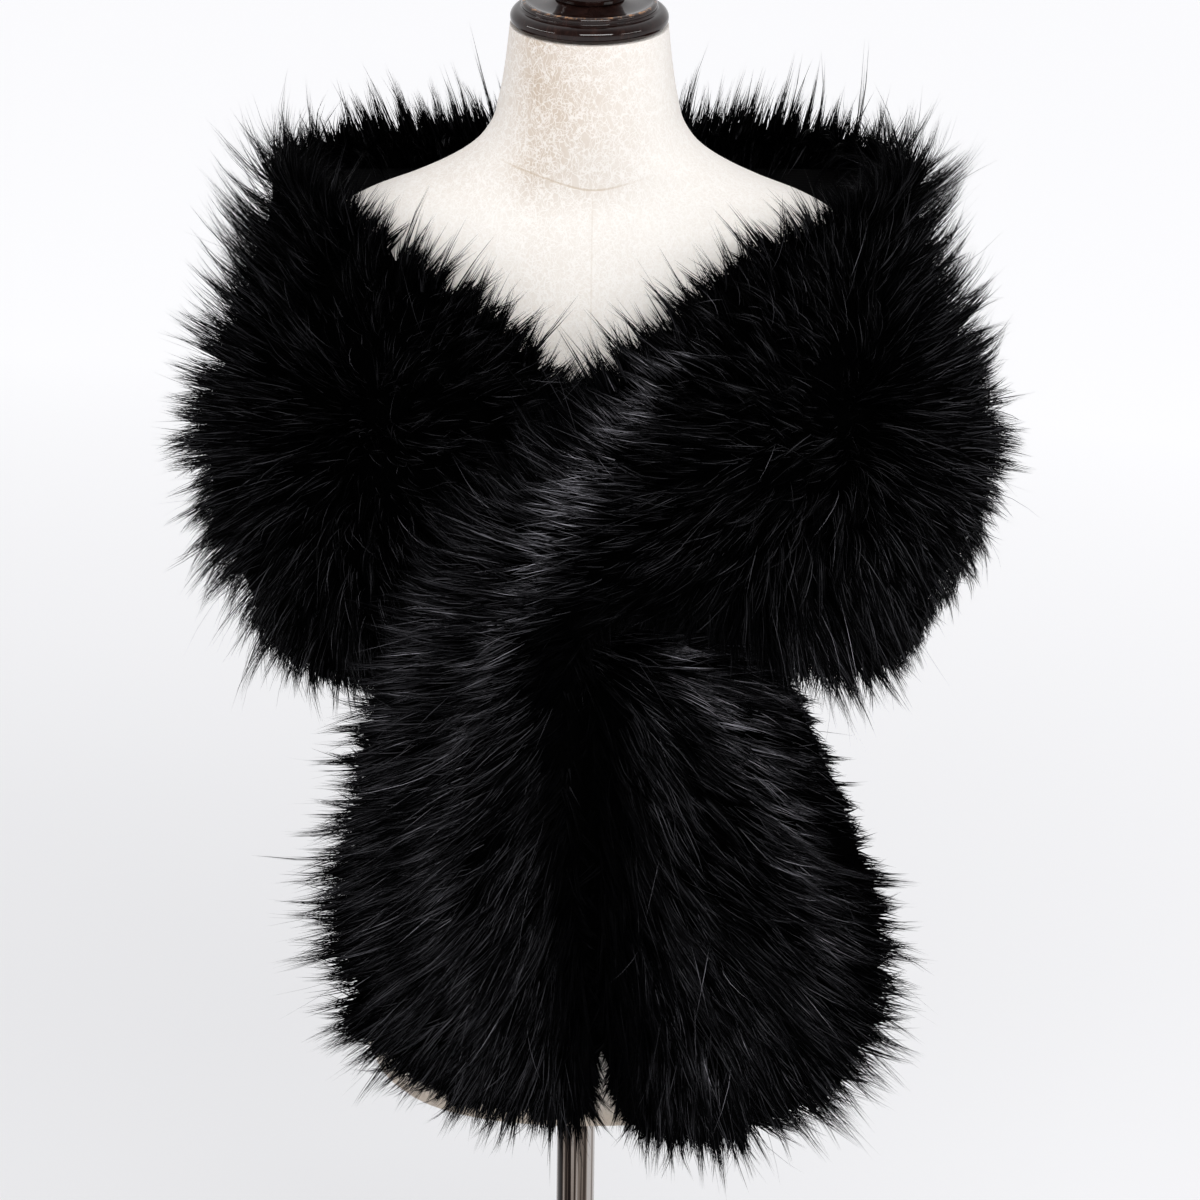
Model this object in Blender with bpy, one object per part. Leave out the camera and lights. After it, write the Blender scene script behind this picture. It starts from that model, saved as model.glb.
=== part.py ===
"""A fur collar wrap worn on a limbless dress form.

The wrap is one long stole of black fur fabric. It lies round the back and both shoulders,
crosses on the chest, right panel over left, and hangs in two tails with rounded ends. Each
stretch of it is a thin backing cloth with a solid of its pile on the outside. The dress form
has a turned wooden neck cap and finial, and stands on a metal pole and a round base.

Units are metres and +Z is up. The front faces -Y, and left and right are as seen from the
front. The origin is the centre of the base's underside.
"""

import math
from collections import namedtuple

import bpy
import numpy as np

MM = 0.001

# ---------------------------------------------------------------- driving dimensions

CLOTH = 2.0 * MM  # thickness of the fur fabric's backing cloth
GAP = 0.3 * MM  # between neighbouring pieces
FORM_CLEARANCE = 2.1 * MM  # level distance from the form to the middle of the cloth
PRESSED_CLEARANCE = 2.0 * MM  # between the lower pile and the panel that crosses over it
SEAM_SHARE = 0.55  # of the gap, that each of two neighbours gives up
PRESSED_SLOPE = 1.1  # how fast the pressed pile rises again, past the panel's edge

CLOTH_COLUMNS = 8  # points across the backing cloth
RIM_COLUMNS = 3  # points from each edge of the cloth to the tip of its fur
BLUNT = 0.12  # share of the pile's depth that is left at its rim
LEAST_PILE = 0.08  # share of the pile's depth that is left under the panel that presses on it
TAIL_END_REACH = 22 * MM  # how far the fur goes past the end of each tail
TAIL_END_TURN = (0.45, 0.85, 1.15, 1.4)  # where its rows are on that rounded end, in radians

SLOPE_STEP = 0.05  # of a section, to either side of a point, for the slopes there
SLOPE_SHARE = 0.04  # of the cloth's width, likewise
PANEL_ROWS = 60  # rows and columns of points on the panel that presses
PANEL_COLUMNS = 24

FORM_SIDES = 48  # points round the form
FORM_RINGS = 33  # rings up the form

BASE_RADIUS = 165 * MM
BASE_HEIGHT = 7 * MM
HUB_RADIUS = 38 * MM
HUB_HEIGHT = 24 * MM
POLE_RADIUS = 11.4 * MM
FERRULE_RADIUS = 13.2 * MM
FERRULE_LENGTH = 120 * MM
FLANGE_RADIUS = 31 * MM
FLANGE_HEIGHT = 3 * MM
EDGE = 1.0 * MM  # the worn-off corner of each turned metal piece
TURNED_SIDES = 32

# Level sections of the form, bottom to top, in mm and degrees. front and back are depths from
# the centre, square is the superellipse's power, and tilt leans a section forward.
FormSection = namedtuple("FormSection", "height half_width front back centre square tilt")
FORM = [
    FormSection(345, 92, 66, 62, 0, 2.2, 0),
    FormSection(350, 113, 82, 79, 0, 2.2, 0),
    FormSection(361, 131, 96, 93, 0, 2.3, 0),
    FormSection(381, 144, 104, 105, 0, 2.3, 0),
    FormSection(415, 152, 108, 112, 0, 2.3, 0),
    FormSection(465, 150, 104, 111, 0, 2.3, 0),
    FormSection(530, 136, 95, 97, 0, 2.3, 0),
    FormSection(600, 121, 90, 82, 0, 2.3, 0),
    FormSection(650, 121, 94, 80, 0, 2.3, 0),
    FormSection(710, 131, 109, 86, 0, 2.3, 0),
    FormSection(765, 143, 121, 92, 0, 2.3, 0),
    FormSection(810, 150, 121, 96, 0, 2.3, 0),
    FormSection(860, 158, 109, 99, 0, 2.3, 0),
    FormSection(905, 168, 94, 98, 0, 2.3, 0),
    FormSection(938, 176, 81, 92, 0, 2.3, 0),
    FormSection(957, 174, 73, 84, 0, 2.3, 0),
    FormSection(970, 163, 67, 76, 0, 2.2, 0),
    FormSection(981, 143, 62, 70, 0, 2.2, 0),
    FormSection(991, 117, 59, 66, -1, 2.1, 0),
    FormSection(1002, 93, 58, 60, -2, 2.1, 0),
    FormSection(1014, 75, 57, 56, -4, 2.0, 0),
    FormSection(1028, 64, 56, 53, -6, 2.0, 1),
    FormSection(1045, 59, 54, 51, -8, 2.0, 3),
    FormSection(1068, 55, 52, 50, -11, 2.0, 6),
    FormSection(1094, 52, 51, 50, -15, 2.0, 9),
]

# Sections across the stole, from the end of the right tail, over the left shoulder, the back
# and the right shoulder, to the end of the left tail, in mm. neck is the edge nearer the neck
# and hem the other one. crown is how far the cloth bulges between them, skew above 1 moves that
# bulge towards the hem, pile is how deep the fur stands, and the reaches are how far it goes
# past each edge.
StoleSection = namedtuple(
    "StoleSection",
    "neck_x neck_y neck_z hem_x hem_y hem_z crown skew pile neck_reach hem_reach",
)
STOLE = [
    StoleSection(108, -136, 386, 37, -141, 386, 2, 1, 26, 12, 6),
    StoleSection(155, -138, 414, 28, -146, 418, 4, 1, 29, 20, 5),
    StoleSection(184, -140, 458, 22, -149, 462, 6, 1, 30, 24, 5),
    StoleSection(191, -142, 511, 18, -151, 514, 8, 1, 30, 24, 5),
    StoleSection(176, -143, 572, 14, -151, 574, 8, 1, 30, 24, 5),
    StoleSection(153, -140, 630, 9, -148, 632, 7, 1, 28, 23, 5),
    StoleSection(125, -124, 690, 5, -142, 678, 4, 1, 22, 18, 5),
    StoleSection(96, -114, 746, -6, -134, 699, 2, 1, 12, 14, 6),
    StoleSection(52, -124, 803, -30, -130, 705, 1, 1, 10, 16, 8),
    StoleSection(3, -124, 852, -64, -126, 700, 2, 1, 16, 18, 12),
    StoleSection(-50, -110, 896, -102, -117, 686, 6, 1.2, 26, 20, 20),
    StoleSection(-104, -84, 930, -146, -98, 680, 16, 1.4, 30, 20, 24),
    StoleSection(-148, -50, 958, -186, -64, 690, 26, 1.6, 31, 20, 26),
    StoleSection(-182, -14, 975, -206, -20, 706, 34, 1.6, 30, 20, 26),
    StoleSection(-196, 26, 979, -210, 32, 716, 32, 1.6, 30, 22, 26),
    StoleSection(-178, 64, 981, -190, 82, 726, 20, 1.4, 30, 24, 26),
    StoleSection(-122, 86, 980, -130, 106, 735, 8, 1.2, 30, 24, 26),
    StoleSection(-60, 90, 980, -62, 111, 739, 3, 1, 30, 24, 26),
    StoleSection(4, 90, 980, 4, 112, 740, 2, 1, 30, 24, 26),
    StoleSection(68, 90, 981, 72, 111, 739, 3, 1, 30, 24, 26),
    StoleSection(132, 86, 983, 142, 106, 735, 8, 1.2, 30, 24, 26),
    StoleSection(186, 64, 985, 204, 82, 725, 24, 1.5, 30, 24, 26),
    StoleSection(205, 24, 984, 216, 32, 714, 44, 1.7, 30, 22, 26),
    StoleSection(194, -18, 979, 216, -22, 702, 48, 1.7, 30, 20, 26),
    StoleSection(162, -52, 967, 204, -68, 688, 34, 1.6, 30, 20, 26),
    StoleSection(120, -84, 954, 172, -104, 690, 16, 1.4, 30, 20, 24),
    StoleSection(80, -112, 924, 128, -140, 712, 9, 1.2, 29, 20, 20),
    StoleSection(40, -134, 888, 84, -152, 733, 7, 1, 28, 20, 16),
    StoleSection(2, -147, 852, 42, -158, 738, 6, 1, 28, 22, 12),
    StoleSection(-47, -152, 805, 8, -160, 727, 6, 1, 28, 24, 7),
    StoleSection(-89, -152, 751, -9, -160, 698, 7, 1, 29, 24, 5),
    StoleSection(-116, -150, 688, -10, -158, 656, 8, 1, 30, 24, 5),
    StoleSection(-131, -147, 620, -7, -156, 604, 8, 1, 30, 24, 5),
    StoleSection(-140, -144, 550, -2, -154, 545, 8, 1, 30, 24, 5),
    StoleSection(-140, -141, 488, 3, -151, 486, 6, 1, 30, 24, 5),
    StoleSection(-124, -139, 434, 9, -148, 436, 4, 1, 29, 20, 5),
    StoleSection(-84, -137, 402, 10, -143, 400, 2, 1, 26, 12, 6),
]

# The stretches of the stole: first and last section, and how many steps each is built in.
Stretch = namedtuple("Stretch", "name first last steps")
STRETCHES = [
    Stretch("tail_right", 0, 6, 12),
    Stretch("crossing_under", 6, 12, 12),
    Stretch("shoulder_left", 12, 16, 10),
    Stretch("back", 16, 20, 8),
    Stretch("shoulder_right", 20, 24, 10),
    Stretch("crossing_over", 24, 30, 12),
    Stretch("tail_left", 30, 36, 12),
]
LOWER_STRETCHES = ("tail_right", "crossing_under")  # these pass under crossing_over
UPPER_SECTIONS = (24, 31)  # the part of the stole that presses on them

# Turned outlines, top to bottom, in mm: radius, and height above the piece's foot.
Turning = namedtuple("Turning", "radius height")
NECK_CAP = [
    Turning(40, 17),
    Turning(43.5, 15.5),
    Turning(44.5, 13),
    Turning(44.5, 11.5),
    Turning(48.5, 10.5),
    Turning(51, 8),
    Turning(52, 5),
    Turning(51, 2),
    Turning(48.5, 0),
]
FINIAL = [
    Turning(7, 73.4),
    Turning(14, 70.5),
    Turning(19, 65),
    Turning(21, 58),
    Turning(19.5, 51),
    Turning(15.5, 45.5),
    Turning(11.5, 41),
    Turning(10, 35),
    Turning(10.5, 27),
    Turning(12.5, 21),
    Turning(15, 17),
    Turning(20, 15.5),
    Turning(23.5, 12.5),
    Turning(24, 9),
    Turning(22, 5),
    Turning(23.5, 0),
]
# The hub's curve, from the pole down to its rim: how far out it is, and what share of its
# height it has there.
HubStep = namedtuple("HubStep", "share_out share_up")
HUB = [
    HubStep(0.00, 1.00),
    HubStep(0.05, 0.95),
    HubStep(0.10, 0.55),
    HubStep(0.32, 0.30),
    HubStep(0.83, 0.16),
    HubStep(1.00, 0.08),
    HubStep(1.00, 0.00),
]

# ---------------------------------------------------------------- scene and materials


def clear_scene():
    for obj in list(bpy.data.objects):
        bpy.data.objects.remove(obj)


def material(name, colour, roughness, metallic=0.0):
    made = bpy.data.materials.new(name)
    made.use_nodes = True
    shader = made.node_tree.nodes["Principled BSDF"]
    shader.inputs["Base Color"].default_value = (*colour, 1.0)
    shader.inputs["Roughness"].default_value = roughness
    shader.inputs["Metallic"].default_value = metallic
    return made


def make_materials():
    return {
        "fur": material("black_fur", (0.010, 0.010, 0.012), 0.55),
        "backing": material("black_backing_cloth", (0.012, 0.012, 0.013), 0.9),
        "cover": material("ivory_form_cover", (0.80, 0.74, 0.66), 0.85),
        "wood": material("dark_mahogany", (0.035, 0.012, 0.008), 0.22),
        "metal": material("dark_chrome", (0.34, 0.32, 0.30), 0.18, 1.0),
    }


# ---------------------------------------------------------------- shapes


def add_mesh(name, points, faces, surface, smooth_angle=40):
    """One object from points in metres, smooth but for its sharp edges."""
    mesh = bpy.data.meshes.new(name)
    mesh.from_pydata([tuple(map(float, p)) for p in points], [], faces)
    mesh.validate()
    mesh.materials.append(surface)
    mesh.shade_smooth()
    mesh.set_sharp_from_angle(angle=math.radians(smooth_angle))
    obj = bpy.data.objects.new(name, mesh)
    bpy.context.scene.collection.objects.link(obj)
    return obj


def lofted(name, rings, surface):
    """A closed solid through level rings, bottom to top, each running anticlockwise."""
    sides = len(rings[0])
    points = np.concatenate(rings)
    faces = [tuple(reversed(range(sides)))]
    for i in range(len(rings) - 1):
        for j in range(sides):
            k = (j + 1) % sides
            faces.append((i * sides + j, i * sides + k, (i + 1) * sides + k, (i + 1) * sides + j))
    last = (len(rings) - 1) * sides
    faces.append(tuple(range(last, last + sides)))
    return add_mesh(name, points, faces, surface)


def turned(name, outline, foot, surface, tilt=0.0):
    """A turned solid: outline has a radius and a height for each ring, top to bottom, foot is
    where its underside's centre goes, and tilt leans its top forward."""
    turn = np.linspace(0, 2 * math.pi, TURNED_SIDES, endpoint=False)
    circle = np.stack([np.cos(turn), np.sin(turn), turn * 0], 1)
    rings = [circle * radius + [0, 0, height] for radius, height in reversed(outline)]
    obj = lofted(name, rings, surface)
    obj.location = foot
    obj.rotation_euler = (tilt, 0, 0)


def wall(name, inner, outer, surface):
    """A closed solid between two grids of points: rows along the stole, columns across it."""
    rows, columns = inner.shape[:2]
    points = np.concatenate([inner.reshape(-1, 3), outer.reshape(-1, 3)])
    lift = rows * columns
    faces = []

    def at(i, j, side):
        return i * columns + j + side * lift

    for i in range(rows - 1):
        for j in range(columns - 1):
            faces.append((at(i, j, 0), at(i, j + 1, 0), at(i + 1, j + 1, 0), at(i + 1, j, 0)))
            faces.append((at(i, j, 1), at(i + 1, j, 1), at(i + 1, j + 1, 1), at(i, j + 1, 1)))
        for j, step in ((0, 1), (columns - 1, -1)):
            edge = [at(i, j, 0), at(i + 1, j, 0), at(i + 1, j, 1), at(i, j, 1)]
            faces.append(tuple(edge[::step]))
    for j in range(columns - 1):
        for i, step in ((0, -1), (rows - 1, 1)):
            # Triangles, cut the same way at both ends, so that neighbours match at a seam.
            first = [at(i, j, 0), at(i, j + 1, 0), at(i, j + 1, 1)]
            second = [at(i, j, 0), at(i, j + 1, 1), at(i, j, 1)]
            faces += [tuple(first[::step]), tuple(second[::step])]
    return add_mesh(name, points, faces, surface)


def through(table, knots, places):
    """A smooth curve through a table's rows, read at the given places along its knots."""
    slopes = np.gradient(table, knots, axis=0)
    index = np.clip(np.searchsorted(knots, places, side="right") - 1, 0, len(knots) - 2)
    width = (knots[index + 1] - knots[index])[:, None]
    t = (places - knots[index])[:, None] / width
    start, end = table[index], table[index + 1]
    return (
        start * (2 * t**3 - 3 * t**2 + 1)
        + slopes[index] * width * (t**3 - 2 * t**2 + t)
        + end * (3 * t**2 - 2 * t**3)
        + slopes[index + 1] * width * (t**3 - t**2)
    )


# ---------------------------------------------------------------- dress form and stand

FORM_TABLE = np.array(FORM, float)
FORM_HEIGHTS = FORM_TABLE[:, 0]


def form_sections(heights):
    """Half width, front, back, centre, power and tilt of the form at heights in mm."""
    return through(FORM_TABLE[:, 1:], FORM_HEIGHTS, heights).T


def outside_form(points):
    """The points, in metres, moved level and outwards to where they clear the form."""
    flat = points.reshape(-1, 3) / MM
    height = np.clip(flat[:, 2], FORM_HEIGHTS[0], FORM_HEIGHTS[-1])
    half_width, front, back, centre, power, _ = form_sections(height)
    x, y = flat[:, 0], flat[:, 1] - centre
    depth = np.where(y < 0, front, back)
    share = (np.abs(x / half_width) ** power + np.abs(y / depth) ** power) ** (1 / power)
    distance = np.hypot(x, y)
    least = distance / share + FORM_CLEARANCE / MM
    scale = np.maximum(1, least / distance)
    moved = np.stack([x * scale, y * scale + centre, flat[:, 2]], 1)
    return moved.reshape(points.shape) * MM


def form_ring(section, height):
    half_width, front, back, centre, power, tilt = section
    turn = np.linspace(0, 2 * math.pi, FORM_SIDES, endpoint=False)
    cos, sin = np.cos(turn), np.sin(turn)
    x = half_width * np.sign(cos) * np.abs(cos) ** (2 / power)
    depth = np.where(sin < 0, front, back)
    y = depth * np.sign(sin) * np.abs(sin) ** (2 / power)
    z = height + y * math.tan(math.radians(tilt))
    return np.stack([x, y + centre, z], 1) * MM


def make_form(surfaces):
    """The torso and neck in one, with rings closest where its outline turns most."""
    rows = np.linspace(0, len(FORM) - 1, FORM_RINGS)
    heights = np.interp(rows, range(len(FORM)), FORM_HEIGHTS)
    rings = [form_ring(s, h) for s, h in zip(form_sections(heights).T, heights)]
    lofted("form_body", rings, surfaces["cover"])


def make_neck_cap(surfaces):
    top = FORM[-1]
    lean = math.radians(top.tilt)
    up = np.array([0, -math.sin(lean), math.cos(lean)])
    foot = np.array([0, top.centre, top.height]) * MM + up * GAP
    turned("neck_cap", np.array(NECK_CAP) * MM, foot, surfaces["wood"], lean)
    finial_foot = foot + up * (NECK_CAP[0].height * MM + GAP)
    turned("finial", np.array(FINIAL) * MM, finial_foot, surfaces["wood"], lean)


def disc(radius, height):
    """The outline of a disc with its corners worn off."""
    return [
        (radius - EDGE, height),
        (radius, height - EDGE),
        (radius, EDGE),
        (radius - EDGE, 0),
    ]


def make_stand(surfaces):
    metal = surfaces["metal"]
    turned("base_plate", disc(BASE_RADIUS, BASE_HEIGHT), (0, 0, 0), metal)

    hub_foot = BASE_HEIGHT + GAP
    out = HUB_RADIUS - FERRULE_RADIUS
    hub = [(FERRULE_RADIUS + step.share_out * out, step.share_up * HUB_HEIGHT) for step in HUB]
    turned("base_hub", hub, (0, 0, hub_foot), metal)

    flange_foot = FORM[0].height * MM - GAP - FLANGE_HEIGHT
    turned("pole_flange", disc(FLANGE_RADIUS, FLANGE_HEIGHT), (0, 0, flange_foot), metal)

    pole_foot = hub_foot + HUB_HEIGHT + GAP
    length = flange_foot - GAP - pole_foot
    pole = [
        (FERRULE_RADIUS, length),
        (FERRULE_RADIUS, length - FERRULE_LENGTH),
        (POLE_RADIUS, length - FERRULE_LENGTH - EDGE),
        (POLE_RADIUS, 0),
    ]
    turned("pole", pole, (0, 0, pole_foot), metal)


# ---------------------------------------------------------------- stole

STOLE_TABLE = np.array(STOLE, float) * np.where(np.array(StoleSection._fields) == "skew", 1, MM)
MIDDLE = (STOLE_TABLE[:, 0:3] + STOLE_TABLE[:, 3:6]) / 2
STEPS = np.linalg.norm(np.diff(MIDDLE, axis=0), axis=1)
STOLE_KNOTS = np.concatenate([[0], np.cumsum(STEPS)])
LAST = len(STOLE) - 1


def stole_rows(places):
    """The stole's sections at places given in sections, 0 to the last."""
    lengths = np.interp(places, range(len(STOLE)), STOLE_KNOTS)
    past = np.clip(places - LAST, 0, None) + np.clip(places, None, 0)
    return through(STOLE_TABLE, STOLE_KNOTS, lengths + past * STEPS[0])


def unit(vectors):
    return vectors / np.linalg.norm(vectors, axis=-1, keepdims=True)


def cloth_points(places, shares):
    """The middle of the backing cloth, at places along the stole and shares of its width."""
    rows = stole_rows(places)[:, None]
    neck, hem, crown, skew = rows[..., 0:3], rows[..., 3:6], rows[..., 6:7], rows[..., 7:8]
    step = stole_rows(places + SLOPE_STEP) - stole_rows(places - SLOPE_STEP)
    along = (step[:, 0:3] + step[:, 3:6])[:, None]
    outward = unit(np.cross(along, hem - neck))
    share = shares[None, :, None]
    bulge = np.sin(math.pi * share**skew) * crown
    return outside_form(neck + share * (hem - neck) + bulge * outward)


def cloth_frame(places, shares):
    """The cloth's middle points, its outward directions and its directions towards the hem."""
    points = cloth_points(places, shares)
    ahead, behind = (cloth_points(places + step, shares) for step in (SLOPE_STEP, -SLOPE_STEP))
    low, high = (np.clip(shares + step, 0, 1) for step in (-SLOPE_SHARE, SLOPE_SHARE))
    across = unit(cloth_points(places, high) - cloth_points(places, low))
    outward = unit(np.cross(ahead - behind, across))
    return points, outward, across


def rim_shares():
    """For each column of the pile: its share of the width, how far past the edge it is (-1 at
    the neck side's tip, 1 at the hem side's) and how full the pile is there."""
    past = np.sin(np.linspace(0, math.pi / 2, RIM_COLUMNS + 1))[1:]
    inside = np.linspace(0, 1, CLOTH_COLUMNS)
    share = np.concatenate([np.zeros(RIM_COLUMNS), inside, np.ones(RIM_COLUMNS)])
    beyond = np.concatenate([-past[::-1], np.zeros(CLOTH_COLUMNS), past])
    fullness = BLUNT + (1 - BLUNT) * np.sqrt(1 - beyond**2)
    return share, beyond, fullness


def pile_grids(places, end_fullness, end_reach):
    """The inner and outer points of the pile. end_fullness thins it and end_reach moves it
    along the stole, a value for each place, to round the ends of the tails."""
    share, beyond, fullness = rim_shares()
    points, outward, across = cloth_frame(places, share)
    rows = stole_rows(places)
    depth, neck_reach, hem_reach = rows[:, 8:9], rows[:, 9:10], rows[:, 10:11]
    reach = np.where(beyond < 0, neck_reach, hem_reach) * beyond * end_fullness[:, None]
    forward = np.cross(across, outward)
    middle = points + reach[:, :, None] * across + end_reach[:, None, None] * forward
    full = fullness[None, :] * end_fullness[:, None]
    floor = CLOTH / 2 + GAP
    centre = (floor + depth) / 2
    half = (depth - floor) / 2 * full
    inner = outside_form(middle + (centre - half)[:, :, None] * outward)
    outer = outside_form(middle + (centre + half)[:, :, None] * outward)
    return inner, outer


def upper_panel():
    """Points over the underside of the panel that crosses on top, its fur included."""
    places = np.linspace(*UPPER_SECTIONS, PANEL_ROWS)
    plain = np.ones(PANEL_ROWS)
    inner, _ = pile_grids(places, plain, plain * 0)
    cloth = cloth_points(places, np.linspace(0, 1, PANEL_COLUMNS))
    return np.concatenate([inner.reshape(-1, 3), cloth.reshape(-1, 3)])


def pressed(inner, outer, panel):
    """The outer points of the lower pile, held back behind the panel that lies over it."""
    flat, base = outer.reshape(-1, 3).copy(), inner.reshape(-1, 3)
    for i, point in enumerate(flat):
        aside = np.hypot(panel[:, 0] - point[0], panel[:, 2] - point[2])
        limit = panel[:, 1] + CLOTH / 2 + PRESSED_CLEARANCE - PRESSED_SLOPE * aside
        lowest = limit[np.argmax(limit)]
        if point[1] < lowest:
            span = base[i, 1] - point[1]
            keep = max(LEAST_PILE, (base[i, 1] - lowest) / span) if span > 0 else 1
            flat[i] = base[i] + (point - base[i]) * keep
    return flat.reshape(outer.shape)


def apart(grid, stretch, middle):
    """The grid of points, its end rows drawn in by half a gap where it meets a neighbour."""
    grid = grid.copy()
    for row, inside, meets in ((0, 1, stretch.first > 0), (-1, -2, stretch.last < LAST)):
        inward = unit((middle[inside] - middle[row]).mean(axis=0))
        if meets:
            grid[row] += inward * GAP * SEAM_SHARE
    return grid


def end_rows(stretch, places):
    """The rows of a stretch's pile: their places, and how full they are and how far past the
    cloth's end. A tail has more rows past its end, which round it off."""
    turn = np.array(TAIL_END_TURN)
    thinned = BLUNT + (1 - BLUNT) * np.cos(turn)
    past = np.sin(turn) * TAIL_END_REACH
    fullness = np.ones(len(places))
    reach = np.zeros(len(places))
    if stretch.first == 0:
        places = np.concatenate([0 * turn, places])
        fullness = np.concatenate([thinned[::-1], fullness])
        reach = np.concatenate([-past[::-1], reach])
    if stretch.last == LAST:
        places = np.concatenate([places, 0 * turn + LAST])
        fullness = np.concatenate([fullness, thinned])
        reach = np.concatenate([reach, past])
    return places, fullness, reach


def make_stole(surfaces):
    panel = upper_panel()
    shares = np.linspace(0, 1, CLOTH_COLUMNS)
    for stretch in STRETCHES:
        places = np.linspace(stretch.first, stretch.last, stretch.steps + 1)
        middle, outward, _ = cloth_frame(places, shares)
        half = outward * CLOTH / 2
        sides = [apart(middle + side, stretch, middle) for side in (-half, half)]
        wall(f"cloth_{stretch.name}", *sides, surfaces["backing"])
        inner, outer = pile_grids(*end_rows(stretch, places))
        if stretch.name in LOWER_STRETCHES:
            outer = pressed(inner, outer, panel)
        sides = [apart(side, stretch, middle) for side in (inner, outer)]
        wall(f"fur_{stretch.name}", *sides, surfaces["fur"])


def main():
    clear_scene()
    surfaces = make_materials()
    make_form(surfaces)
    make_neck_cap(surfaces)
    make_stand(surfaces)
    make_stole(surfaces)


main()
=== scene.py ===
"""The looks of a black long-pile fur stole, worn as a collar wrap on a limbless dress form.

The stole's surface is worked out again from the CAD's tables. On it lie a thin backing cloth, a
dense undercoat and the long hair, which is combed by a table of nap directions, gathered in
pointed tufts, kept off the form, and pressed where the other panel crosses over it.
"""

import math
from collections import namedtuple
import bpy
import numpy as np
from mathutils import Matrix, Vector


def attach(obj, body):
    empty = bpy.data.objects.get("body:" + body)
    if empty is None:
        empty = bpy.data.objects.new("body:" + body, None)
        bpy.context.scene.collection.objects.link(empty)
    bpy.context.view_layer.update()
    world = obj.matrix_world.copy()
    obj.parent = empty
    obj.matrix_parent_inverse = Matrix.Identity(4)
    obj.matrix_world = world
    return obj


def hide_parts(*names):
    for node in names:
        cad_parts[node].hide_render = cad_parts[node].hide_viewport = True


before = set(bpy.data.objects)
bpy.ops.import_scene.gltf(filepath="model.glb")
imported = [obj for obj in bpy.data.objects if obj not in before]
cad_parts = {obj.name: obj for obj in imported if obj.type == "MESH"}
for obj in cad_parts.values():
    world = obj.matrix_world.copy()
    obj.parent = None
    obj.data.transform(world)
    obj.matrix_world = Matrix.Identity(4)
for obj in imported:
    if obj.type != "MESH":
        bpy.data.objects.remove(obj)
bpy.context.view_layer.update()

MM = 0.001
random = np.random.default_rng(20)


def rising(value, start, span):
    """0 up to start, 1 from start + span on, and straight between them."""
    return np.clip((value - start) / span, 0, 1)


def falling(value, end, span):
    """1 up to end - span, 0 from end on, and straight between them."""
    return np.clip((end - value) / span, 0, 1)


def peak(value, middle, spread):
    """1 at the middle and 0 from spread on, on either side."""
    return np.clip(1 - np.abs(value - middle) / spread, 0, 1)


# ---------------------------------------------------------------- node trees


class Nodes:
    """A material's or world's node tree, with short calls for what is used here."""

    def __init__(self, owner):
        owner.use_nodes = True
        self.owner, self.tree = owner, owner.node_tree
        self.shader = self.tree.nodes.get("Principled BSDF")

    def put(self, node, inputs):
        """Sets a node's inputs, which are constants or sockets to link."""
        for key, value in inputs.items():
            if isinstance(value, bpy.types.NodeSocket):
                self.tree.links.new(value, node.inputs[key])
            else:
                node.inputs[key].default_value = value
        return node

    def add(self, kind, inputs=None, **settings):
        node = self.tree.nodes.new("ShaderNode" + kind)
        for key, value in settings.items():
            setattr(node, key, value)
        return self.put(node, inputs or {})

    def set(self, **inputs):
        """Sets inputs of the surface shader, with _ for each space in their names."""
        self.put(self.shader, {key.replace("_", " "): value for key, value in inputs.items()})

    def coordinates(self, scale=(1, 1, 1), turn=(0, 0, 0)):
        where = self.add("TexCoord").outputs["Object"]
        mapping = self.add("Mapping", {"Vector": where, "Scale": scale, "Rotation": turn})
        return mapping.outputs["Vector"]

    def noise(self, vector, scale, detail=3.0, rough=0.55, distortion=0.0, output="Fac"):
        inputs = {"Vector": vector, "Scale": scale, "Detail": detail}
        inputs |= {"Roughness": rough, "Distortion": distortion}
        return self.add("TexNoise", inputs).outputs[output]

    def math(self, operation, a, b=0.0):
        return self.add("Math", {0: a, 1: b}, operation=operation).outputs[0]

    def times(self, a, b):
        return self.math("MULTIPLY", a, b)

    def plus(self, a, b):
        return self.math("ADD", a, b)

    def off(self, a, b):
        """How far a is from b."""
        return self.math("ABSOLUTE", self.math("SUBTRACT", a, b))

    def ranged(self, value, low, high, to_low=0.0, to_high=1.0, **settings):
        inputs = {"Value": value, "From Min": low, "From Max": high}
        inputs |= {"To Min": to_low, "To Max": to_high}
        return self.add("MapRange", inputs, **settings).outputs["Result"]

    def mixed(self, factor, a, b, **settings):
        inputs = {"Factor": factor, "A": a, "B": b}
        return self.add("Mix", inputs, data_type="RGBA", **settings).outputs["Result"]

    def ramp(self, value, *stops):
        """Colours along a value. A stop has its place and a grey or a colour."""
        node = self.add("ValToRGB", {"Fac": value})
        elements = node.color_ramp.elements
        while len(elements) < len(stops):
            elements.new(0.5)
        for element, (place, *colour) in zip(elements, stops):
            element.position = place
            element.color = (*colour, 1) if len(colour) == 3 else (*colour * 3, 1)
        return node.outputs["Color"]

    def bumped(self, height, strength, distance):
        inputs = {"Height": height, "Strength": strength, "Distance": distance}
        self.set(Normal=self.add("Bump", inputs).outputs["Normal"])


def new_material(name):
    return Nodes(bpy.data.materials.new(name))


def link(name, mesh, surface):
    mesh.materials.append(surface)
    obj = bpy.data.objects.new(name, mesh)
    bpy.context.scene.collection.objects.link(obj)
    return obj


# ---------------------------------------------------------------- camera, stage and light

CAMERA_PITCH = 15.0
CAMERA_ROLL = 0.76
CAMERA_DISTANCE = 3.0
CAMERA_TARGET = Vector((0.0119, 0.0, 0.700))
CAMERA_LENS = 132.35
SENSOR_WIDTH = 36
VIEW_DEPTH = 200

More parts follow.
